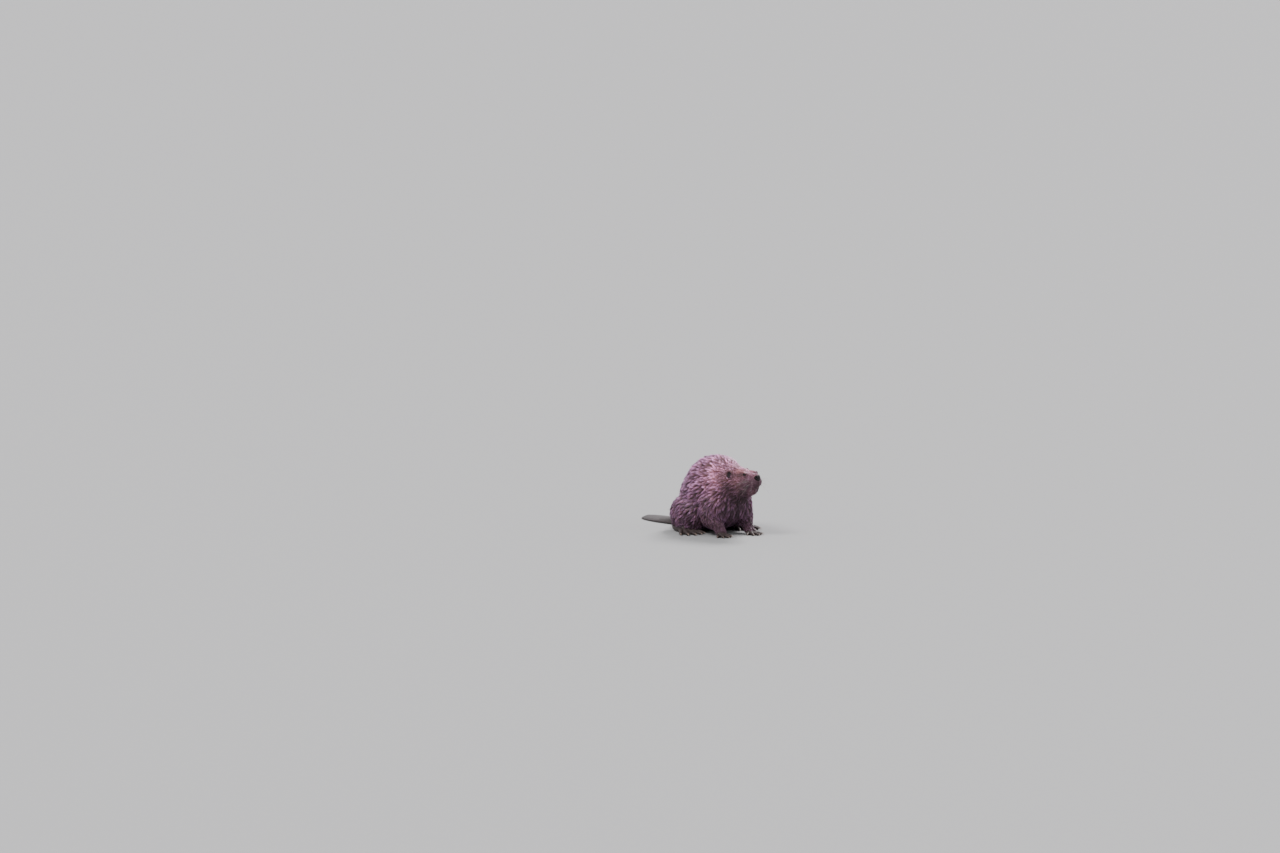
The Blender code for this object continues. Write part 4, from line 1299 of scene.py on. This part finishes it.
def skin_finish():
    coat, skin = setting("coat"), setting("skin")
    made, tree, shader = new_finish("beaver_skin", 0.50, Specular_IOR_Level=0.3)
    fur, nose, inside = stored(tree, "bare")
    under = ramp_of(tree, noise_value(tree, 90.0, 4.0), [(0.3, coat.root), (0.8, times(coat.middle, 0.45))])
    # The skin under the coat gets the same markings and painted highlight and shade.
    under = marked_and_lit(tree, under, stored(tree, "marks_and_light"))
    stops = [(0.25, times(skin.hide, 0.5)), (0.75, times(skin.hide, 1.6))]
    hide = ramp_of(tree, noise_value(tree, 140.0, 5.0), stops)
    place = tree.nodes.new("ShaderNodeTexCoord").outputs["Object"]
    scutes = add_node(tree, "ShaderNodeTexVoronoi", Scale=560.0, feature="DISTANCE_TO_EDGE")
    pebbles = add_node(tree, "ShaderNodeTexVoronoi", Scale=1500.0)
    for texture in (scutes, pebbles):
        tree.links.new(place, texture.inputs["Vector"])
    pebbles = pebbles.outputs["Distance"]
    creases = ramp_of(tree, scutes.outputs["Distance"], [(0.0, (0, 0, 0)), (0.12, (1, 1, 1))])
    hide = dimmed(tree, hide, spread(tree, creases, 0.55, 1.0))
    pad = ramp_of(tree, pebbles, [(0.1, times(skin.nose, 1.7)), (0.6, times(skin.nose, 0.6))])
    colour = mixed(tree, fur, hide, under)
    colour = mixed(tree, nose, colour, pad)
    # The skin in an ear's hollow is painted near black: partly its own dark colour, partly painted shade.
    colour = mixed(tree, inside, colour, times(skin.nose, 0.6))
    coloured(tree, shader, colour)
    soft = maths(tree, "MAXIMUM", nose, inside)
    plain = product(tree, creases, maths(tree, "SUBTRACT", 0.6, product(tree, soft, 0.6)))
    beads = product(tree, product(tree, pebbles, -0.55), nose)
    fine = plus(tree, plus(tree, plain, beads), noise_value(tree, 700.0, 4.0))
    bumped(tree, shader, fine, 0.5, 0.0005)
    return made


@lru_cache(maxsize=None)
def eye_finish():
    iris = setting("details").iris
    made, tree, shader = new_finish(
        "eye_wet", 0.05, Coat_Weight=0.25, Coat_Roughness=0.02, Specular_IOR_Level=0.35, IOR=1.38
    )
    rings = [
        (0.56, (0.014, 0.008, 0.007)), (0.68, times(iris, 0.3)), (0.80, iris), (0.895, times(iris, 0.7)),
        (0.92, (0.0015, 0.001, 0.001)),
    ]
    colour = ramp_of(tree, stored_value(tree, "facing"), rings)
    flecks = product(tree, noise_value(tree, 1400.0, 3.0), 0.5)
    coloured(tree, shader, mixed(tree, flecks, colour, (0.006, 0.003, 0.002)))
    return made


@lru_cache(maxsize=None)
def claw_finish():
    claw = setting("details").claw
    made, tree, shader = new_finish("claw_horn", 0.34, Coat_Weight=0.15, Coat_Roughness=0.2)
    streaks = noise_value(tree, 260.0, 4.0, (0.25, 1.0, 1.0))
    place = plus(tree, stored_value(tree, "along"), product(tree, streaks, 0.25))
    stops = [(0.30, times(claw, 0.35)), (0.75, claw), (1.0, times(claw, 2.2))]
    coloured(tree, shader, ramp_of(tree, place, stops))
    bumped(tree, shader, streaks, 0.25, 0.0004)
    return made


def whisker_finish():
    whisker = setting("details").whisker
    made, tree, shader = new_finish("whisker", 0.35)
    stops = [(0.0, times(whisker, 0.25)), (0.35, whisker)]
    coloured(tree, shader, ramp_of(tree, stored_value(tree, "along"), stops))
    return made


def scale_finish():
    tail = setting("skin").tail
    made, tree, shader = new_finish("tail_scales", 0.52, Specular_IOR_Level=0.35)
    height, tone, _ = stored(tree, "scale")
    place = plus(tree, product(tree, height, 0.6), product(tree, tone, 0.4))
    colour = ramp_of(tree, place, [(0.10, times(tail, 0.30)), (0.60, tail), (1.0, times(tail, 1.45))])
    stain = ramp_of(tree, noise_value(tree, 34.0, 4.0), [(0.42, (0, 0, 0)), (0.66, (1, 1, 1))])
    coloured(tree, shader, mixed(tree, product(tree, stain, 0.55), colour, times(tail, 0.45)))
    bumped(tree, shader, noise_value(tree, 900.0, 4.0, (0.4, 1.0, 1.0)), 0.35, 0.0003)
    return made


# ---------------------------------------------------------------- eyes, claws and whiskers


def make_eyes():
    """The eyeballs, each with a clear bulge ahead of the iris."""
    for side, sign in SIDES.items():
        bm = bmesh.new()
        bmesh.ops.create_icosphere(bm, subdivisions=5, radius=1.0)
        vertices, triangles = arrays(mesh_of(bm, "ball"))
        facing = vertices @ eye_axes(sign)[0]
        bulge = 1.0 + 0.045 * ramp(facing, 0.74, 0.97)
        vertices = EYES[side] + vertices * bulge[:, None] * EYE_RADIUS
        mesh = triangle_mesh("eye", vertices, triangles, {"facing": facing})
        piece(f"eyeball_{side}", mesh, eye_finish(), [f"eye_{side}"])


def horn(tip, heading, length, width, flat):
    """Points of a curved nail, ring by ring, springing from inside the toe."""
    heading = np.array(heading)
    across = unit(np.cross(UP, heading))
    vertices = []
    for share in np.linspace(-0.30, 1.0, CLAW_STATIONS):
        at = np.array(tip) + heading * length * share + UP * np.interp(share, *CLAW_RISE)
        half = width / 2 * np.interp(share, *CLAW_GIRTH)
        at[2] = max(at[2], half * flat + 0.0005)
        for step in range(CLAW_AROUND):
            angle = 2.0 * math.pi * step / CLAW_AROUND
            ridge = 1.0 + 0.10 * max(0.0, math.sin(angle)) ** 6
            below = 0.72 if math.sin(angle) < 0 else 1.0
            high = half * flat * math.sin(angle) * ridge * below
            vertices.append(at + across * half * math.cos(angle) + UP * high)
    return np.array(vertices)


def make_claws():
    triangles = tube_faces(CLAW_STATIONS, CLAW_AROUND)
    along = np.repeat(np.linspace(0.0, 1.0, CLAW_STATIONS), CLAW_AROUND)
    for kind, foot in FEET.items():
        _, length, width, flat = foot["claw"]
        for side, sign in SIDES.items():
            for number, (tip, heading, size) in enumerate(foot_limbs(foot, sign)[2], start=1):
                vertices = horn(tip, heading, length * size, width * size, flat)
                mesh = triangle_mesh("claw", vertices, triangles, {"along": along})
                name = f"{side}_{number}"
                piece(f"nail_{kind}_{name}", mesh, claw_finish(), [f"{kind}_claw_{name}"])


def tube_points(lines, radii):
    """Points of tapered tubes, ring by ring. lines are (tubes, stations, 3)."""
    forward = unit(np.gradient(lines, axis=1))
    one = unit(np.cross(forward, np.array((0.31, 0.17, 0.93))))
    two = np.cross(forward, one)
    angles = 2 * math.pi * np.arange(WHISKER_AROUND) / WHISKER_AROUND
    ring = one[:, :, None] * np.cos(angles)[:, None] + two[:, :, None] * np.sin(angles)[:, None]
    size = radii[:, None] * (1.0 - 0.88 * np.linspace(0.0, 1.0, WHISKER_STATIONS))[None]
    return (lines[:, :, None] + ring * size[:, :, None, None]).reshape(-1, 3)


def make_whiskers():
    random = np.random.default_rng(WHISKER_SEED)
    longest = setting("details").whisker_length
    tree = skin_surface()["tree"]
    shares = np.linspace(0.0, 1.0, WHISKER_STATIONS)
    droop = -UP * 0.26 - AHEAD * 0.22
    lines, radii = [], []
    for sign in SIDES.values():
        for row in range(WHISKER_ROWS):
            for place in range(WHISKER_ROWS - row // 2):
                start = head_place(
                    WHISKER_AT[0] + WHISKER_STEP[0] * place - 0.002 * (row % 2),
                    (WHISKER_AT[1] + WHISKER_STEP[1] * place + WHISKER_ROW[0] * row) * sign,
                    WHISKER_AT[2] + WHISKER_ROW[1] * row + random.uniform(-0.0008, 0.0008),
                )
                root, normal = (np.array(found) for found in tree.find_nearest(start)[:2])
                length = longest * random.uniform(0.62, 1.0) * (1.0 - 0.10 * abs(row - 1.5))
                aim = LEFT * sign * 0.95 + AHEAD * (0.42 - 0.20 * place) - UP * (0.02 + 0.15 * row)
                aim = unit(aim + normal * 0.6 + random.normal(0, 0.06, 3))
                way = aim * shares[:, None] + droop * shares[:, None] ** 2.2
                lines.append(root - normal * 0.001 + length * way)
                radii.append(random.uniform(*WHISKER_RADII))
    vertices = tube_points(np.array(lines), np.array(radii))
    faces = tube_faces(WHISKER_STATIONS, WHISKER_AROUND)
    triangles = repeated(faces, len(lines), WHISKER_STATIONS * WHISKER_AROUND)
    along = np.tile(np.repeat(shares, WHISKER_AROUND), len(lines))
    mesh = triangle_mesh("whiskers", vertices, triangles, {"along": along})
    piece("whiskers", mesh, whisker_finish())


# ---------------------------------------------------------------- the tail's scales


def scale_points(places, normals, width, random):
    """Points of overlapping six-sided plates. Each lies back towards the tail's tip."""
    back = np.array((-1.0, 0.0, -0.35))
    along = unit(back - normals * (normals @ back)[:, None])
    across = np.cross(normals, along)
    outer = np.array(SCALE_OUTLINE)
    outer[:, 0] *= 0.92
    width = width * random.uniform(0.93, 1.07, len(places))
    vertices = []
    for shrink, rise_front, rise_back in SCALE_RINGS:
        for x, y in outer * shrink:
            rise = rise_front + (rise_back - rise_front) * (x + 0.5)
            at = along * x + across * y + normals * rise
            vertices.append(places + at * width[:, None])
    return np.stack(vertices, axis=1).reshape(-1, 3)


def face_plates(tree, low, high, width):
    """(place, normal, size) of the plates on the paddle's two faces, in staggered rows."""
    plates = []
    for row, x in enumerate(np.arange(high[0], low[0] - width, -width * SCALE_STEP)):
        for y in np.arange(low[1] - width, high[1] + width, width) + (row % 2) * width / 2:
            for z, way in ((0.2, -1.0), (-0.1, 1.0)):
                place, normal, _, _ = tree.ray_cast(Vector((x, y, z)), Vector((0, 0, way)))
                if place is None or place.x > high[0] - TAIL_FUR_ENDS + FACE_UNDER_FUR:
                    continue
                if normal.z > FACE_UP or normal.z < FACE_DOWN:
                    plates.append((*place, *normal, 0.66 + 0.34 * ramp(abs(normal.z), FACE_UP, 0.92)))
    return plates


def rim_plates(random, skin, high, width):
    """(place, normal, size) of the plates along the paddle's rim."""
    corners = skin["triangles"]
    facing = skin["normals"][corners].mean(axis=1)[:, 2]
    ahead = skin["vertices"][corners].mean(axis=1)[:, 0]
    rim = (facing > RIM_FACES[0]) & (facing < RIM_FACES[1])
    rim &= ahead < high[0] - TAIL_FUR_ENDS + RIM_UNDER_FUR
    gap = width * RIM_SIZE * RIM_SPACING
    places, normals, _, _ = scattered(random, rim * RIM_TRIES / gap**2)
    return [(*places[i], *normals[i], RIM_SIZE) for i in spaced(places, np.full(len(places), gap))]


def make_scales():
    random = np.random.default_rng(SCALE_SEED)
    width = setting("skin").scale
    skin = skin_surface()
    low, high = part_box("tail_paddle")
    plates = np.array(face_plates(skin["tree"], low, high, width) + rim_plates(random, skin, high, width))
    places, normals, sizes = plates[:, :3], unit(plates[:, 3:6]), plates[:, 6]
    under, rim = normals[:, 2] < -0.3, sizes == RIM_SIZE
    places = places - normals * (0.0006 * under + 0.0002 * rim)[:, None]
    vertices = scale_points(places, normals, width * sizes, random)
    vertices[:, 2] = np.maximum(vertices[:, 2], 0.0)
    around, rings = len(SCALE_OUTLINE), len(SCALE_RINGS)
    triangles = repeated(tube_faces(rings, around), len(places), rings * around)
    height = np.tile(np.repeat(np.linspace(0.0, 1.0, rings), around), len(places))
    tone = np.repeat(random.random(len(places)), rings * around)
    mesh = triangle_mesh("scales", vertices, triangles, {"scale": np.stack((height, tone, tone * 0), axis=1)})
    mesh.set_sharp_from_angle(angle=math.radians(40.0))
    piece("tail_scales", mesh, scale_finish())


# ---------------------------------------------------------------- the stage


def towards(azimuth, elevation):
    """The way to something at an azimuth and elevation, in degrees."""
    a, e = math.radians(azimuth), math.radians(elevation)
    return Vector((math.sin(a) * math.cos(e), -math.cos(a) * math.cos(e), math.sin(e)))


def make_floor():
    stage = setting("stage")
    bm = bmesh.new()
    bmesh.ops.create_grid(bm, x_segments=2, y_segments=2, size=FLOOR_HALF)
    floor = object_of("floor", mesh_of(bm, "floor"))
    made, tree, shader = new_finish("floor_matte", 0.85)
    speckle = noise_value(tree, 30.0, 2.0)
    coloured(tree, shader, ramp_of(tree, speckle, [(0.3, times(stage.floor, 0.985)), (0.7, stage.floor)]))
    floor.data.materials.append(made)


def make_light():
    stage = setting("stage")
    world = bpy.data.worlds.new("studio")
    world.use_nodes = True
    bpy.context.scene.world = world
    backdrop = world.node_tree.nodes["Background"]
    backdrop.inputs["Color"].default_value = (*stage.sky, 1.0)
    backdrop.inputs["Strength"].default_value = stage.strength
    for name, (azimuth, elevation, strength, width, colour) in SUNS.items():
        light = bpy.data.lights.new(name, "SUN")
        light.energy, light.angle, light.color = strength, math.radians(width), colour
        source = towards(VIEW_AZIMUTH + azimuth, elevation)
        object_of(name, light).rotation_euler = source.to_track_quat("Z", "Y").to_euler()


def make_camera():
    data = bpy.data.cameras.new("camera")
    data.lens, data.sensor_width, data.clip_end = VIEW_LENS, 36.0, 1000.0
    camera = object_of("camera", data)
    back = towards(VIEW_AZIMUTH, VIEW_ELEVATION)
    right = towards(VIEW_AZIMUTH + 90.0, 0.0)
    camera.location = right * VIEW_ASIDE + back.cross(right) * VIEW_ABOVE + back * VIEW_DISTANCE
    camera.rotation_euler = back.to_track_quat("Z", "Y").to_euler()
    bpy.context.scene.camera = camera


# ---------------------------------------------------------------- operators and panel


class BEAVER_OT_skin(bpy.types.Operator):
    """Wraps all the flesh in one skin, with lids, nose pad, mouth, ears and feet"""

    bl_idname = "beaver.skin"
    bl_label = "Skin"

    def execute(self, context):
        make_skin()
        return {"FINISHED"}


class BEAVER_OT_coat(bpy.types.Operator):
    """Lays the wet coat over the skin, in pointed locks"""

    bl_idname = "beaver.coat"
    bl_label = "Coat"

    def execute(self, context):
        make_coat()
        return {"FINISHED"}


class BEAVER_OT_eyes(bpy.types.Operator):
    """Sets both eyes"""

    bl_idname = "beaver.eyes"
    bl_label = "Eyes"

    def execute(self, context):
        make_eyes()
        return {"FINISHED"}


class BEAVER_OT_claws(bpy.types.Operator):
    """Shapes the twenty claws"""

    bl_idname = "beaver.claws"
    bl_label = "Claws"

    def execute(self, context):
        make_claws()
        return {"FINISHED"}


class BEAVER_OT_whiskers(bpy.types.Operator):
    """Sets the whiskers"""

    bl_idname = "beaver.whiskers"
    bl_label = "Whiskers"

    def execute(self, context):
        make_whiskers()
        return {"FINISHED"}


class BEAVER_OT_scales(bpy.types.Operator):
    """Covers the tail with scales"""

    bl_idname = "beaver.scales"
    bl_label = "Tail scales"

    def execute(self, context):
        make_scales()
        return {"FINISHED"}


class BEAVER_OT_stage(bpy.types.Operator):
    """Sets the floor, the light and the camera"""

    bl_idname = "beaver.stage"
    bl_label = "Stage"

    def execute(self, context):
        make_floor()
        make_light()
        make_camera()
        return {"FINISHED"}


OPERATORS = (
    BEAVER_OT_stage,
    BEAVER_OT_skin,
    BEAVER_OT_eyes,
    BEAVER_OT_coat,
    BEAVER_OT_whiskers,
    BEAVER_OT_claws,
    BEAVER_OT_scales,
)
GROUPS = {
    "beaver_coat": BEAVER_PG_coat,
    "beaver_skin": BEAVER_PG_skin,
    "beaver_details": BEAVER_PG_details,
    "beaver_stage": BEAVER_PG_stage,
}


class BEAVER_PT_panel(bpy.types.Panel):
    """The beaver's settings, and a button for each of its pieces"""

    bl_idname = "BEAVER_PT_panel"
    bl_label = "Beaver"
    bl_space_type = "VIEW_3D"
    bl_region_type = "UI"
    bl_category = "Beaver"

    def draw(self, context):
        for name in GROUPS:
            group = getattr(context.scene, name)
            box = self.layout.box()
            for key in group.bl_rna.properties.keys():
                if key not in ("name", "rna_type"):
                    box.prop(group, key)
        for operator in OPERATORS:
            self.layout.operator(operator.bl_idname)


def register():
    for made in (*GROUPS.values(), *OPERATORS, BEAVER_PT_panel):
        bpy.utils.register_class(made)
    for name, group in GROUPS.items():
        setattr(bpy.types.Scene, name, bpy.props.PointerProperty(type=group))


def unregister():
    for name in GROUPS:
        delattr(bpy.types.Scene, name)
    for made in (BEAVER_PT_panel, *OPERATORS[::-1], *GROUPS.values()):
        bpy.utils.unregister_class(made)


def main():
    register()
    for operator in OPERATORS:
        family, name = operator.bl_idname.split(".")
        getattr(getattr(bpy.ops, family), name)()


if __name__ == "__main__":
    main()
